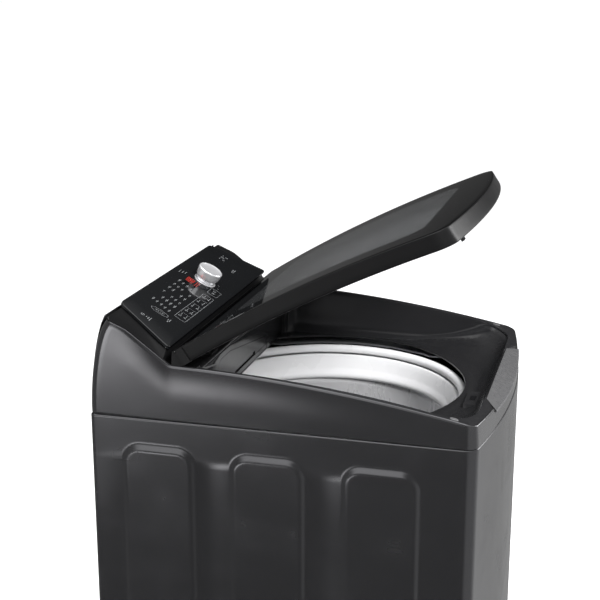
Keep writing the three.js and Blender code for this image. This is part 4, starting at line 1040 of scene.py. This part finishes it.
def effect(name, ins, outs, build):
    """A shader node group with named sockets, built once by a function of its own tree."""
    g = bpy.data.node_groups.new(name, "ShaderNodeTree")
    for label, kind, value in ins:
        g.interface.new_socket(name=label, in_out="INPUT", socket_type="NodeSocket" + kind).default_value = value
    for label, kind in outs:
        g.interface.new_socket(name=label, in_out="OUTPUT", socket_type="NodeSocket" + kind)
    t = Tree(g)
    source, sink = t.add("NodeGroupInput"), t.add("NodeGroupOutput")
    for label, value in build(t, source.outputs).items():
        t.put(sink.inputs[label], value)


def build_effects():
    """Grain, shade drift, handling marks, edge wear and settled dust, shared by the materials."""
    grey = (0.5, 0.5, 0.5, 1)

    def grain(t, i):
        coords = t.add("TexCoord").outputs["Object"]
        fine = t.add("TexNoise", Vector=coords, Scale=i["Scale"], Detail=3.0).outputs["Fac"]
        broad = t.add("TexNoise", Vector=coords, Scale=t.math("DIVIDE", i["Scale"], 9), Detail=1.0).outputs["Fac"]
        return {"Height": t.plus(t.times(fine, i["Fine"]), t.times(broad, i["Broad"])),
                "Mask": t.band(fine, 0.42, 0.6)}
    effect("Surface Grain", [("Scale", "Float", 900), ("Fine", "Float", 0.5), ("Broad", "Float", 0.5)],
           [("Height", "Float"), ("Mask", "Float")], grain)

    def drift(t, i):
        n = t.noise(4.5, 3.0)
        k = t.plus(1, t.times(t.minus(n, 0.5), t.times(i["Amount"], 3)))
        scaled = t.add("VectorMath", {"operation": "SCALE"})
        t.put(scaled.inputs[0], i["Color"])
        t.put(scaled.inputs["Scale"], k)
        return {"Color": scaled.outputs[0]}
    effect("Shade Drift", [("Color", "Color", grey), ("Amount", "Float", 0.06)], [("Color", "Color")], drift)

    def marks(t, i):
        blot = t.band(t.noise(11, 4.0), 0.46, 0.72)
        wipe = t.band(t.noise(26, 3.0, stretch=(1, 0.25, 1)), 0.5, 0.75)
        m = t.times(t.plus(blot, t.times(wipe, 0.6)), i["Amount"])
        return {"Roughness": t.plus(i["Roughness"], m), "Mask": m}
    effect("Handling Marks", [("Roughness", "Float", 0.4), ("Amount", "Float", 0.06)],
           [("Roughness", "Float"), ("Mask", "Float")], marks)

    def wear(t, i):
        point = t.add("NewGeometry").outputs["Pointiness"]
        m = t.times(t.band(point, 0.6, 0.72), t.band(t.noise(90, 4.0), 0.35, 0.6))
        m = t.times(m, i["Amount"])
        return {"Color": t.mix(m, i["Color"], i["Worn Color"]), "Mask": m}
    effect("Edge Wear", [("Color", "Color", grey), ("Worn Color", "Color", grey), ("Amount", "Float", 0.3)],
           [("Color", "Color"), ("Mask", "Float")], wear)

    def dust(t, i):
        up = t.add("SeparateXYZ", Vector=t.add("NewGeometry").outputs["Normal"]).outputs["Z"]
        m = t.times(t.times(t.band(up, 0.2, 0.95), t.band(t.noise(140, 5.0), 0.35, 0.75)),
                   i["Amount"])
        return {"Color": t.mix(m, i["Color"], (0.42, 0.41, 0.39, 1)), "Mask": m}
    effect("Settled Dust", [("Color", "Color", grey), ("Amount", "Float", 0.08)],
           [("Color", "Color"), ("Mask", "Float")], dust)

    def strokes(t, i):
        a = t.noise(700, 2.0, stretch=(1, 1, 0.015))
        b = t.noise(160, 2.0, stretch=(1, 1, 0.03))
        change = t.times(t.minus(b, 0.5), i["Amount"])
        return {"Height": t.plus(t.times(a, 0.7), t.times(b, 0.3)),
                "Roughness": t.plus(i["Roughness"], change)}
    effect("Brush Strokes", [("Roughness", "Float", 0.3), ("Amount", "Float", 0.3)],
           [("Height", "Float"), ("Roughness", "Float")], strokes)


def finish(name, color, rough, metallic=0.0, grain=900.0, fine=0.5, broad=0.5, bump=0.1, depth=0.1, drift=0.06,
           marks=0.06, wear=0.0, worn=None, dust=0.0, coat=0.0, coat_rough=0.1, spec=0.5, brushed=False,
           pattern=None, sheen=0.0, emission=None):
    """Principled material: drifting colour with wear and dust, roughness with handling
    marks, and a bump of grain or brush strokes. pattern may change colour and height."""
    m = bpy.data.materials.new(name)
    m.use_nodes = True
    t = Tree(m.node_tree)
    shader = m.node_tree.nodes["Principled BSDF"]
    c = t.group("Shade Drift", Color=rgba(color), Amount=drift)["Color"]
    if wear:
        c = t.group("Edge Wear", Color=c, Worn_Color=rgba(worn or color, 1.0), Amount=wear)["Color"]
    if dust:
        c = t.group("Settled Dust", Color=c, Amount=dust)["Color"]
    r = t.group("Handling Marks", Roughness=rough, Amount=marks)["Roughness"]
    h = t.group("Surface Grain", Scale=grain, Fine=fine, Broad=broad)["Height"]
    if brushed:
        g = t.group("Brush Strokes", Roughness=r, Amount=0.25)
        r, h = g["Roughness"], g["Height"]
    if pattern:
        c, h = pattern(t, c, h)
    t.put(shader.inputs["Base Color"], c)
    t.put(shader.inputs["Roughness"], r)
    b = t.add("Bump", Height=h, Strength=bump, Distance=depth / 1000)
    t.put(shader.inputs["Normal"], b.outputs[0])
    shader.inputs["Metallic"].default_value = metallic
    shader.inputs["Coat Weight"].default_value = coat
    shader.inputs["Coat Roughness"].default_value = coat_rough
    shader.inputs["Specular IOR Level"].default_value = spec
    shader.inputs["Sheen Weight"].default_value = sheen
    if emission:
        t.put(shader.inputs["Emission Color"], t.mix(t.band(t.noise(60), 0.3, 0.7, 0.0, 0.25), rgba(emission),
                                                     rgba(emission, 0.7)))
        shader.inputs["Emission Strength"].default_value = 0.3
    return m


def holes(t, c, h):
    """Rows of round drain holes: cells across the angle about the upright axis and the
    height, every second row moved half a cell; inside the holes the colour goes dark as painted shade of the gap
    behind the wall, and the height dips."""
    p = t.add("SeparateXYZ", Vector=t.add("TexCoord").outputs["Object"]).outputs
    u = t.times(t.math("ARCTAN2", p["Y"], p["X"]), 96 / (2 * math.pi))
    v = t.times(p["Z"], 1000 / 15)
    half = t.times(t.math("FLOORED_MODULO", t.math("FLOOR", v), 2), 0.5)
    du = t.minus(t.math("FLOORED_MODULO", t.plus(u, half), 1), 0.5)
    dv = t.minus(t.math("FLOORED_MODULO", v, 1), 0.5)
    d = t.math("SQRT", t.plus(t.times(du, du), t.times(dv, dv)))
    tall = t.times(t.band(p["Z"], 0.35, 0.352), t.band(p["Z"], 0.6, 0.602, 1.0, 0.0))
    m = t.times(t.band(d, 0.1, 0.14, 1.0, 0.0), tall)
    # painted shade: the near-black colour in the holes stands in for the shaded gap seen through them; the height dip
    # is the only relief
    return t.mix(m, c, (0.012, 0.012, 0.013, 1)), t.minus(h, t.times(m, 3))


def cells(t, c, h):
    """Stamped stiffening squares on pressed sheet: a soft raised grid."""
    p = t.add("SeparateXYZ", Vector=t.add("TexCoord").outputs["Object"]).outputs
    a = t.math("ABSOLUTE", t.minus(t.math("FLOORED_MODULO", t.times(p["X"], 8), 1), 0.5))
    b = t.math("ABSOLUTE", t.minus(t.math("FLOORED_MODULO", t.times(p["Z"], 8), 1), 0.5))
    m = t.band(t.math("MAXIMUM", a, b), 0.4, 0.45)
    return c, t.plus(h, t.times(m, 4))


def traces(t, c, h):
    """Copper tracks and solder points on a circuit board."""
    v = t.add("TexVoronoi", {"distance": "CHEBYCHEV"}, Vector=t.add("TexCoord").outputs["Object"], Scale=160.0)
    m = t.band(v.outputs["Distance"], 0.28, 0.32)
    return t.mix(m, c, (0.25, 0.18, 0.06, 1)), t.plus(h, m)


def pane_material(color):
    """Smoked glass with a printed black border: the border is the outside of a rounded
    rectangle in the pane's own map, whose units are metres of the shut lid."""
    m = bpy.data.materials.new("Smoked Glass")
    m.use_nodes = True
    t = Tree(m.node_tree)
    shader = m.node_tree.nodes["Principled BSDF"]
    uv = t.add("UVMap", {"uv_map": "pane"}).outputs[0]
    p = t.add("SeparateXYZ", Vector=uv).outputs
    ax = t.math("MAXIMUM", t.minus(t.math("ABSOLUTE", p["X"]), 0.165), 0)
    ay = t.math("MAXIMUM", t.minus(t.math("ABSOLUTE", t.minus(p["Y"], -0.084)), 0.131), 0)
    d = t.math("SQRT", t.plus(t.times(ax, ax), t.times(ay, ay)))
    frit = t.band(d, 0.0388, 0.0402)
    dots = t.add("TexVoronoi", Vector=t.add("TexCoord").outputs["Object"], Scale=420.0).outputs["Distance"]
    edge = t.times(t.band(d, 0.036, 0.039), t.band(dots, 0.3, 0.4, 1.0, 0.0))
    cover = t.math("MAXIMUM", frit, edge)
    glass = t.group("Shade Drift", Color=rgba(color), Amount=0.03)["Color"]
    t.put(shader.inputs["Base Color"], t.mix(cover, glass, (0.004, 0.004, 0.0045, 1)))
    t.put(shader.inputs["Roughness"], t.group("Handling Marks", Roughness=0.03, Amount=0.05)["Roughness"])
    h = t.group("Surface Grain", Scale=60.0, Fine=0.2, Broad=0.8)["Height"]
    t.put(shader.inputs["Normal"], t.add("Bump", Height=h, Strength=0.02, Distance=0.0003).outputs[0])
    shader.inputs["Transmission Weight"].default_value = 0.85
    shader.inputs["IOR"].default_value = 1.5
    return m


def build_materials():
    """Every finish of the machine, by the name the pieces ask for."""
    s = sizes()
    paint = tuple(s.paint_color)
    light = tuple(s.plastic_color)
    black = tuple(s.panel_color)
    steel = tuple(s.steel_color)
    return {
        "cover paint": finish("Cover Paint", paint, 0.18, metallic=0.9, grain=2600, fine=0.75, broad=0.25, bump=0.05,
                              depth=0.08, drift=0.03, marks=0.05, wear=0.2, worn=(0.3, 0.3, 0.31), coat=0.35,
                              coat_rough=0.06, dust=0.015),
        "cabinet paint": finish("Cabinet Paint", paint, 0.2, metallic=0.9, grain=1500, fine=0.6, broad=0.4, bump=0.08,
                                depth=0.09, drift=0.05, marks=0.07, coat=0.25, coat_rough=0.1, dust=0.02),
        "housing paint": finish("Housing Plastic", (0.004, 0.004, 0.0042), 0.34, grain=2200, bump=0.06, depth=0.08,
                                wear=0.15, worn=(0.06, 0.06, 0.06), spec=0.1),
        "black gloss": finish("Black Glass", black, 0.05, grain=80, fine=0.1, broad=0.9, bump=0.02, depth=0.3,
                              marks=0.05, coat=0.2, coat_rough=0.02, spec=0.5),
        "black satin": finish("Black Moulding", (0.012, 0.012, 0.013), 0.2, grain=1900, bump=0.1, depth=0.08,
                              wear=0.25, worn=(0.08, 0.08, 0.08), dust=0.01, spec=0.3),
        "lid moulding": finish("Lid Moulding", (0.004, 0.004, 0.0042), 0.28, grain=1900, bump=0.1, depth=0.08,
                               wear=0.2, worn=(0.1, 0.1, 0.1), dust=0.006, spec=0.16),
        "grey plastic": finish("Grey Moulding", (0.065, 0.065, 0.067), 0.22, grain=1700, bump=0.04, depth=0.08,
                               wear=0.3, worn=(0.5, 0.5, 0.5), dust=0.04, drift=0.08),
        "light plastic": finish("Pale Moulding", light, 0.24, grain=1300, bump=0.05, depth=0.08, dust=0.03,
                                marks=0.08, drift=0.03, coat=0.2, coat_rough=0.08),
        "print": finish("Panel Print", (0.16, 0.165, 0.17), 0.5, grain=3000, bump=0.05, drift=0.1),
        "display": finish("Display Window", (0.01, 0.004, 0.004), 0.08, grain=60, bump=0.02, drift=0.2, coat=0.6),
        "figure": finish("Lit Figure", (0.2, 0.012, 0.008), 0.4, grain=2000, bump=0.05, drift=0.1,
                         emission=tuple(s.display_color)),
        "chrome": finish("Polished Chrome", (0.78, 0.78, 0.8), 0.09, metallic=0.72, grain=500, fine=0.2, broad=0.8,
                         bump=0.02, depth=0.1, marks=0.06, drift=0.03),
        "knob face": finish("Spun Aluminium", (0.34, 0.34, 0.35), 0.3, metallic=0.4, bump=0.05, depth=0.06,
                            marks=0.05, pattern=spun),
        "steel": finish("Drum Steel", steel, 0.26, metallic=0.35, bump=0.1, depth=0.06, marks=0.1, brushed=True,
                        pattern=holes),
        "zinc": finish("Zinc Plate", (0.5, 0.51, 0.53), 0.36, metallic=0.9, grain=220, fine=0.3, broad=0.7, bump=0.06,
                       drift=0.14, marks=0.16, dust=0.05),
        "rear sheet": finish("Galvanised Sheet", (0.46, 0.47, 0.49), 0.38, metallic=0.85, grain=160, bump=0.15,
                             depth=0.5, drift=0.16, marks=0.16, dust=0.04, pattern=cells),
        "cast": finish("Cast Aluminium", (0.36, 0.36, 0.37), 0.5, metallic=0.8, grain=700, bump=0.4, depth=0.2,
                       drift=0.12, marks=0.1, dust=0.08),
        "rubber": finish("Moulded Rubber", (0.018, 0.018, 0.019), 0.72, grain=1100, bump=0.3, depth=0.12, marks=0.05,
                         dust=0.12, sheen=0.15),
        "board": finish("Circuit Board", (0.02, 0.16, 0.06), 0.42, grain=800, bump=0.3, depth=0.2, pattern=traces),
        "glass": pane_material(tuple(s.glass_color)),
    }


def spun(t, c, h):
    """Fine rings turned about the knob's middle: a sine of the distance from its axis."""
    b = Body()
    x, y, z = (float(v) / 1000 for v in b.on_panel(*KNOB, 24.5))
    p = t.add("VectorMath", {"operation": "DISTANCE"})
    t.put(p.inputs[0], t.add("TexCoord").outputs["Object"])
    p.inputs[1].default_value = (x, y, z)
    ringed = t.math("SINE", t.times(p.outputs["Value"], 9000))
    return c, t.plus(h, t.times(ringed, 0.35))


FINISH = {}


def finish_of(name):
    """The material by name; all are built at the first call."""
    if not FINISH:
        build_effects()
        FINISH.update(build_materials())
    return FINISH[name]


def map_flat(obj, name, function):
    """A UV map worked out from the vertices: function takes [n, 3] in millimetres."""
    mesh = obj.data
    co = np.empty(len(mesh.vertices) * 3)
    mesh.vertices.foreach_get("co", co)
    uv = function(co.reshape(-1, 3) * 1000)
    loops = np.empty(len(mesh.loops), int)
    mesh.loops.foreach_get("vertex_index", loops)
    layer = mesh.uv_layers.new(name=name)
    layer.uv.foreach_set("vector", uv[loops].astype(np.float32).ravel())


def closed_lid(b, p):
    """Undoes the opening turn of the lid."""
    a = b.lid_open * DEG
    y, z = p[:, 1] - b.pivot_y, p[:, 2] - b.pivot_z
    return np.column_stack([p[:, 0], b.pivot_y + y * math.cos(a) - z * math.sin(a)])


# ---- sizes and colours --------------------------------------------------------------

def length(name, about, default):
    return FloatProperty(name=name, description=about, default=default, min=0.001, unit="LENGTH")


def tone(name, about, default):
    return FloatVectorProperty(name=name, description=about, default=default, size=3, subtype="COLOR", min=0, max=1)


class WasherSizes(bpy.types.PropertyGroup):
    """Leading measures and colours of the washing machine"""
    width: length("Width", "Cabinet width over the flat side panels", 0.56)
    depth: length("Depth", "Depth from the middle of the bowed front to the rear", 0.659)
    seam_height: length("Seam height", "Height of the joint between cabinet and cover", 0.85)
    front_bow: length("Front bow", "How far the front bulges in its middle", 0.0248)
    lid_thickness: length("Lid thickness", "Thickness of the lid at its side", 0.028)
    lid_angle: FloatProperty(name="Lid angle", description="How far the lid stands open", default=34.1 * DEG,
                             unit="ROTATION", subtype="ANGLE")
    panel_tilt: FloatProperty(name="Panel tilt", description="Slope of the control panel", default=29.63 * DEG,
                              unit="ROTATION", subtype="ANGLE")
    paint_color: tone("Paint", "Metallic paint of cabinet and cover", (0.075, 0.075, 0.079))
    panel_color: tone("Panel", "Glass of the control panel", (0.003, 0.0033, 0.0038))
    plastic_color: tone("Pale plastic", "Rings, pulsator and valve bodies", (0.8, 0.8, 0.81))
    steel_color: tone("Drum steel", "Wall of the wash basket", (0.56, 0.56, 0.57))
    glass_color: tone("Lid glass", "Smoked pane of the lid", (0.16, 0.165, 0.17))
    display_color: tone("Display", "Light of the display figures", (1.0, 0.05, 0.03))
    floor_color: tone("Floor", "Studio floor", (0.86, 0.86, 0.87))


# ---- operators ----------------------------------------------------------------------

class BuildCabinet(bpy.types.Operator):
    """Sheet steel cabinet with three pressed panels on each side"""
    bl_idname = "washer.cabinet"
    bl_label = "Cabinet"

    def execute(self, context):
        piece("cabinet_panels", [cabinet_skin(Body())], "cabinet", ["cabinet_wrap"],
              [finish_of("cabinet paint")], wall=0.9)
        return {"FINISHED"}


class BuildCover(bpy.types.Operator):
    """Moulded top cover with rim, loading recess, hinge trough and drawer wall"""
    bl_idname = "washer.cover"
    bl_label = "Top cover"

    def execute(self, context):
        sheets = top_cover(Body())
        piece("cover_shell", sheets, "cabinet", ["top_cover"],
              [finish_of("cover paint"), finish_of("black satin")], wall=1.5,
              index=[0] + [1] * (len(sheets) - 2) + [0])
        return {"FINISHED"}


class BuildRimParts(bpy.types.Operator):
    """Insert of the finger scoop and the two cushions the lid shuts on"""
    bl_idname = "washer.rim_parts"
    bl_label = "Scoop insert and cushions"

    def execute(self, context):
        b = Body()
        piece("scoop_pad", scoop_shape(b), "cabinet", ["scoop_insert"], [finish_of("grey plastic")],
              outwards=True)
        for side, word in ((-1, "left"), (1, "right")):
            piece("cushion_" + word, [bumper_shape(b, side)], "cabinet", ["bumper_" + word],
                  [finish_of("grey plastic")], outwards=True)
        return {"FINISHED"}


class BuildLid(bpy.types.Operator):
    """Lid: moulded tray with rear bars, and the smoked pane over it"""
    bl_idname = "washer.lid"
    bl_label = "Lid"

    def execute(self, context):
        b = Body()
        piece("lid_tray", lid_frame(b) + lid_bars(b), "lid", ["lid_frame"],
              [finish_of("lid moulding")], outwards=True)
        pane = piece("lid_pane", lid_glass(b), "lid", ["lid_glass"], [finish_of("glass")],
                     outwards=True)
        map_flat(pane, "pane", lambda p: closed_lid(b, p) / 1000)
        return {"FINISHED"}


class BuildConsole(bpy.types.Operator):
    """Console housing, glass control panel, printed marks and display figures"""
    bl_idname = "washer.console"
    bl_label = "Console and panel"

    def execute(self, context):
        b = Body()
        piece("console_shell", console(b), "cabinet", ["console_housing"], materials=[finish_of("housing paint")],
              outwards=True)
        piece("panel_glass", panel_plate(b), "cabinet", ["control_panel"], [finish_of("black gloss")],
              outwards=True)
        piece("panel_marks", panel_prints(b), "cabinet", materials=[finish_of("print")],
              wall=0.08)
        piece("display_figures", display_digits(b), "cabinet", materials=[finish_of("figure")],
              wall=0.12)
        return {"FINISHED"}


class BuildKnob(bpy.types.Operator):
    """Programme knob with polished side and spun face, and the ring under it"""
    bl_idname = "washer.knob"
    bl_label = "Knob"

    def execute(self, context):
        b = Body()
        piece("programme_knob", knob_shape(b), "knob", ["knob"],
              [finish_of("chrome"), finish_of("knob face")], index=[0, 1], sharp=30)
        band = filleted([(21, 0.3), (21, 1.2), (7, 1.2), (7, 0.3)], 0.3, 4, closed=True)
        piece("knob_trim", [on_slope(b, turned(band, 64, closed=True), *KNOB)], "cabinet", ["knob_ring"],
              [finish_of("chrome")], outwards=True)
        return {"FINISHED"}


class BuildRings(bpy.types.Operator):
    """Pale rings round the mouth: the tub's cover and the basket's balance ring"""
    bl_idname = "washer.rings"
    bl_label = "Tub cover and balance ring"

    def execute(self, context):
        piece("tub_rim", bead_ring(), "tub", ["tub_cover"], [finish_of("light plastic")],
              outwards=True)
        piece("basket_rim", balance_ring(), "spin_basket", ["balance_ring"], materials=[finish_of("light plastic")],
              outwards=True)
        return {"FINISHED"}


class BuildBasket(bpy.types.Operator):
    """Steel wash basket with ridges and drain holes"""
    bl_idname = "washer.basket"
    bl_label = "Basket"

    def execute(self, context):
        piece("wash_basket", basket_wall(), "spin_basket", ["basket"], [finish_of("steel")], wall=0.8)
        return {"FINISHED"}


class BuildPulsator(bpy.types.Operator):
    """Pulsator disc with six fins and its cap"""
    bl_idname = "washer.pulsator"
    bl_label = "Pulsator"

    def execute(self, context):
        piece("wash_plate", pulsator_shape(), "wash_pulsator", ["pulsator"],
              [finish_of("light plastic")], outwards=True)
        dome = filleted([(0, 333.5), (31, 333.5), (32, 338), (28, 344), (14, 347.8), (0, 348.3)], 2.5, 5)
        piece("plate_cap", [turned(dome, 64)], "wash_pulsator", ["pulsator_cap"],
              [finish_of("grey plastic")], outwards=True)
        return {"FINISHED"}


FEET_X = {"left": -238, "right": 238}
FEET_Y = {"front": -267.5, "rear": 281.5}


class BuildFeet(bpy.types.Operator):
    """Four levelling feet with threaded stems"""
    bl_idname = "washer.feet"
    bl_label = "Feet"

    def execute(self, context):
        for fore, y in FEET_Y.items():
            for side, x in FEET_X.items():
                piece(f"leg_{fore}_{side}_pad", [foot_shape(x, y)], f"leg_{fore}_{side}", [f"foot_{fore}_{side}"],
                      [finish_of("rubber")], outwards=True)
        return {"FINISHED"}


HANGERS = [f"{part}_{fore}_{side}" for part in ("suspension_rod", "spring") for fore in ("front", "rear")
           for side in ("left", "right")]
KEPT = {
    "rear sheet": ["rear_panel"],
    "black satin": ["base_frame", "valve_plate", "detergent_drawer", "hinge_bracket_left", "hinge_bracket_right",
                    "lid_striker", "dispenser_housing", "lid_lock"],
    "zinc": ["top_frame", "hinge_pin_left", "hinge_pin_right", "motor_pulley", "drive_pulley", "wash_shaft",
             "spin_shaft", "drive_bracket"] + HANGERS,
    "light plastic": ["inlet_valve", "outer_tub", "basket_base", "drain_valve"],
    "grey plastic": ["softener_cap", "lint_filter_left", "lint_filter_right", "drain_spigot"],
    "rubber": ["tub_seal", "drive_belt", "cord_gland"],
    "cast": ["gear_case", "motor"],
    "board": ["control_board"],
    "display": ["display_window"],
}


class FinishKept(bpy.types.Operator):
    """Finishes and smooth shading for the parts kept as they are"""
    bl_idname = "washer.kept_parts"
    bl_label = "Kept parts"

    def execute(self, context):
        for name, nodes in KEPT.items():
            for node in nodes:
                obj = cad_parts[node]
                obj.data.materials.clear()
                obj.data.materials.append(finish_of(name))
                obj.data.shade_smooth()
                weld = obj.modifiers.new("weld", "WELD")
                weld.merge_threshold = 1e-5
                split = obj.modifiers.new("corners", "EDGE_SPLIT")
                split.split_angle = 30 * DEG
        return {"FINISHED"}


def softbox(name, place, target, width, height, power):
    """Rectangular light at a place, facing a target."""
    lamp = bpy.data.lights.new(name, "AREA")
    lamp.shape, lamp.size, lamp.size_y = "RECTANGLE", width, height
    lamp.energy = power
    obj = bpy.data.objects.new(name, lamp)
    obj.location = place
    obj.rotation_euler = (Vector(target) - Vector(place)).to_track_quat("-Z", "Y").to_euler()
    bpy.context.scene.collection.objects.link(obj)
    return obj


class BuildStage(bpy.types.Operator):
    """Pale floor, white surroundings, softboxes and the camera"""
    bl_idname = "washer.stage"
    bl_label = "Stage"

    def execute(self, context):
        mesh = bpy.data.meshes.new("studio_floor")
        mesh.from_pydata([(-30, -30, 0), (30, -30, 0), (30, 30, 0), (-30, 30, 0)], [], [(0, 1, 2, 3)])
        floor = bpy.data.objects.new("studio_floor", mesh)
        context.scene.collection.objects.link(floor)
        mesh.materials.append(finish("Floor", tuple(sizes().floor_color), 0.8, grain=60, bump=0.03, drift=0.0,
                                     marks=0.02, spec=0.1))
        ground = mesh.materials[0].node_tree.nodes["Principled BSDF"]
        ground.inputs["Emission Color"].default_value = (1, 1, 1, 1)
        ground.inputs["Emission Strength"].default_value = 0.4
        floor.visible_glossy = False
        context.scene.view_settings.view_transform = "Standard"
        self.surroundings(context.scene)
        softbox("overhead", (-0.4, 0.1, 3.2), (0, 0, 0.9), 3.0, 3.0, 60)
        softbox("front_right", (1.9, -2.2, 1.9), (0, 0, 0.7), 1.2, 1.8, 34)
        softbox("rear_left", (-2.3, 2.4, 1.6), (-0.2, 0.1, 0.8), 1.3, 1.8, 36).visible_glossy = False
        softbox("mouth", (-1.3, -1.5, 2.5), (0.1, 0.0, 0.8), 0.8, 0.8, 130).visible_glossy = False
        self.camera(context.scene)
        return {"FINISHED"}

    def surroundings(self, scene):
        """White to the eye and for fill light; reflections see a darker room with a bright
        band behind on the left, another low in front on the right, and a soft ceiling."""
        world = bpy.data.worlds.new("Studio")
        world.use_nodes = True
        scene.world = world
        t = Tree(world.node_tree)
        back = world.node_tree.nodes["Background"]
        d = t.add("SeparateXYZ", Vector=t.add("TexCoord").outputs["Generated"]).outputs
        strip = t.times(t.band(d["Z"], -0.328, -0.268), t.band(d["Z"], -0.14, -0.24))
        reach = t.times(t.band(d["Y"], 0.21, 0.41), t.band(d["Y"], 0.66, 0.46))
        left = t.times(t.times(t.band(d["X"], -0.4, -0.6), strip), reach)
        right = t.times(t.band(d["X"], 0.0, 0.5), t.band(d["Y"], 0.16, -0.05))
        right = t.times(right, t.band(d["Z"], 0.05, -0.2))
        ceiling = t.band(d["Z"], 0.35, 0.9)
        high = t.times(t.band(d["Z"], 0.0, 0.12), t.band(d["Z"], 0.92, 0.7))
        high = t.times(high, t.times(t.band(d["Y"], -0.05, 0.15), t.band(d["Y"], 0.62, 0.42)))
        high = t.times(high, t.band(d["X"], 0.0, -0.3))
        shade = t.plus(t.times(left, 5.2), t.times(right, 0.28))
        shade = t.plus(shade, t.plus(t.times(high, 1.6), t.times(ceiling, 0.45)))
        room = t.plus(t.band(d["X"], 0.5, -0.5, 0.03, 0.08),
                      t.times(t.band(d["X"], 0.3, 0.7), t.band(d["Z"], 0.12, -0.08, 0.0, 0.075)))
        sides = t.plus(t.band(d["Y"], 0.5, 0.9, 0.0, 0.2), t.band(d["Y"], -0.22, -0.6, 0.0, 0.4))
        shade = t.plus(shade, t.plus(room, sides))
        path = t.add("LightPath").outputs
        seen = t.math("MAXIMUM", path["Is Camera Ray"], path["Is Transmission Ray"])
        value = t.plus(t.times(path["Is Glossy Ray"], shade),
                       t.times(t.minus(1, path["Is Glossy Ray"]), 0.75))
        value = t.plus(t.times(seen, 1.02), t.times(t.minus(1, seen), value))
        t.put(back.inputs["Color"], value)
        back.inputs["Strength"].default_value = 1.0

    def camera(self, scene):
        """Looking across the machine from its left, a little from the front and above."""
        lens = bpy.data.cameras.new("View")
        lens.lens, lens.sensor_width, lens.clip_end = 76.41, 36.0, 100.0
        obj = bpy.data.objects.new("View", lens)
        obj.location = (-2.07909, -0.51984, 1.57223)
        obj.rotation_euler = Vector((0.93103, 0.25490, -0.26118)).to_track_quat("-Z", "Y").to_euler()
        scene.collection.objects.link(obj)
        scene.camera = obj


BUILDERS = (BuildCabinet, BuildCover, BuildRimParts, BuildLid, BuildConsole, BuildKnob, BuildRings, BuildBasket,
            BuildPulsator, BuildFeet, FinishKept, BuildStage)


class WasherPanel(bpy.types.Panel):
    """Sizes, colours and build buttons of the washing machine"""
    bl_idname = "WASHER_PT_build"
    bl_label = "Top Load Washer"
    bl_space_type = "VIEW_3D"
    bl_region_type = "UI"
    bl_category = "Washer"

    def draw(self, context):
        for name in WasherSizes.__annotations__:
            self.layout.prop(context.scene.washer_sizes, name)
        for builder in BUILDERS:
            self.layout.operator(builder.bl_idname)


CLASSES = (WasherSizes, *BUILDERS, WasherPanel)


def register():
    for cls in CLASSES:
        bpy.utils.register_class(cls)
    bpy.types.Scene.washer_sizes = PointerProperty(type=WasherSizes)


def unregister():
    del bpy.types.Scene.washer_sizes
    for cls in reversed(CLASSES):
        bpy.utils.unregister_class(cls)


def main():
    register()
    for builder in BUILDERS:
        group, name = builder.bl_idname.split(".")
        getattr(getattr(bpy.ops, group), name)()


if __name__ == "__main__":
    main()
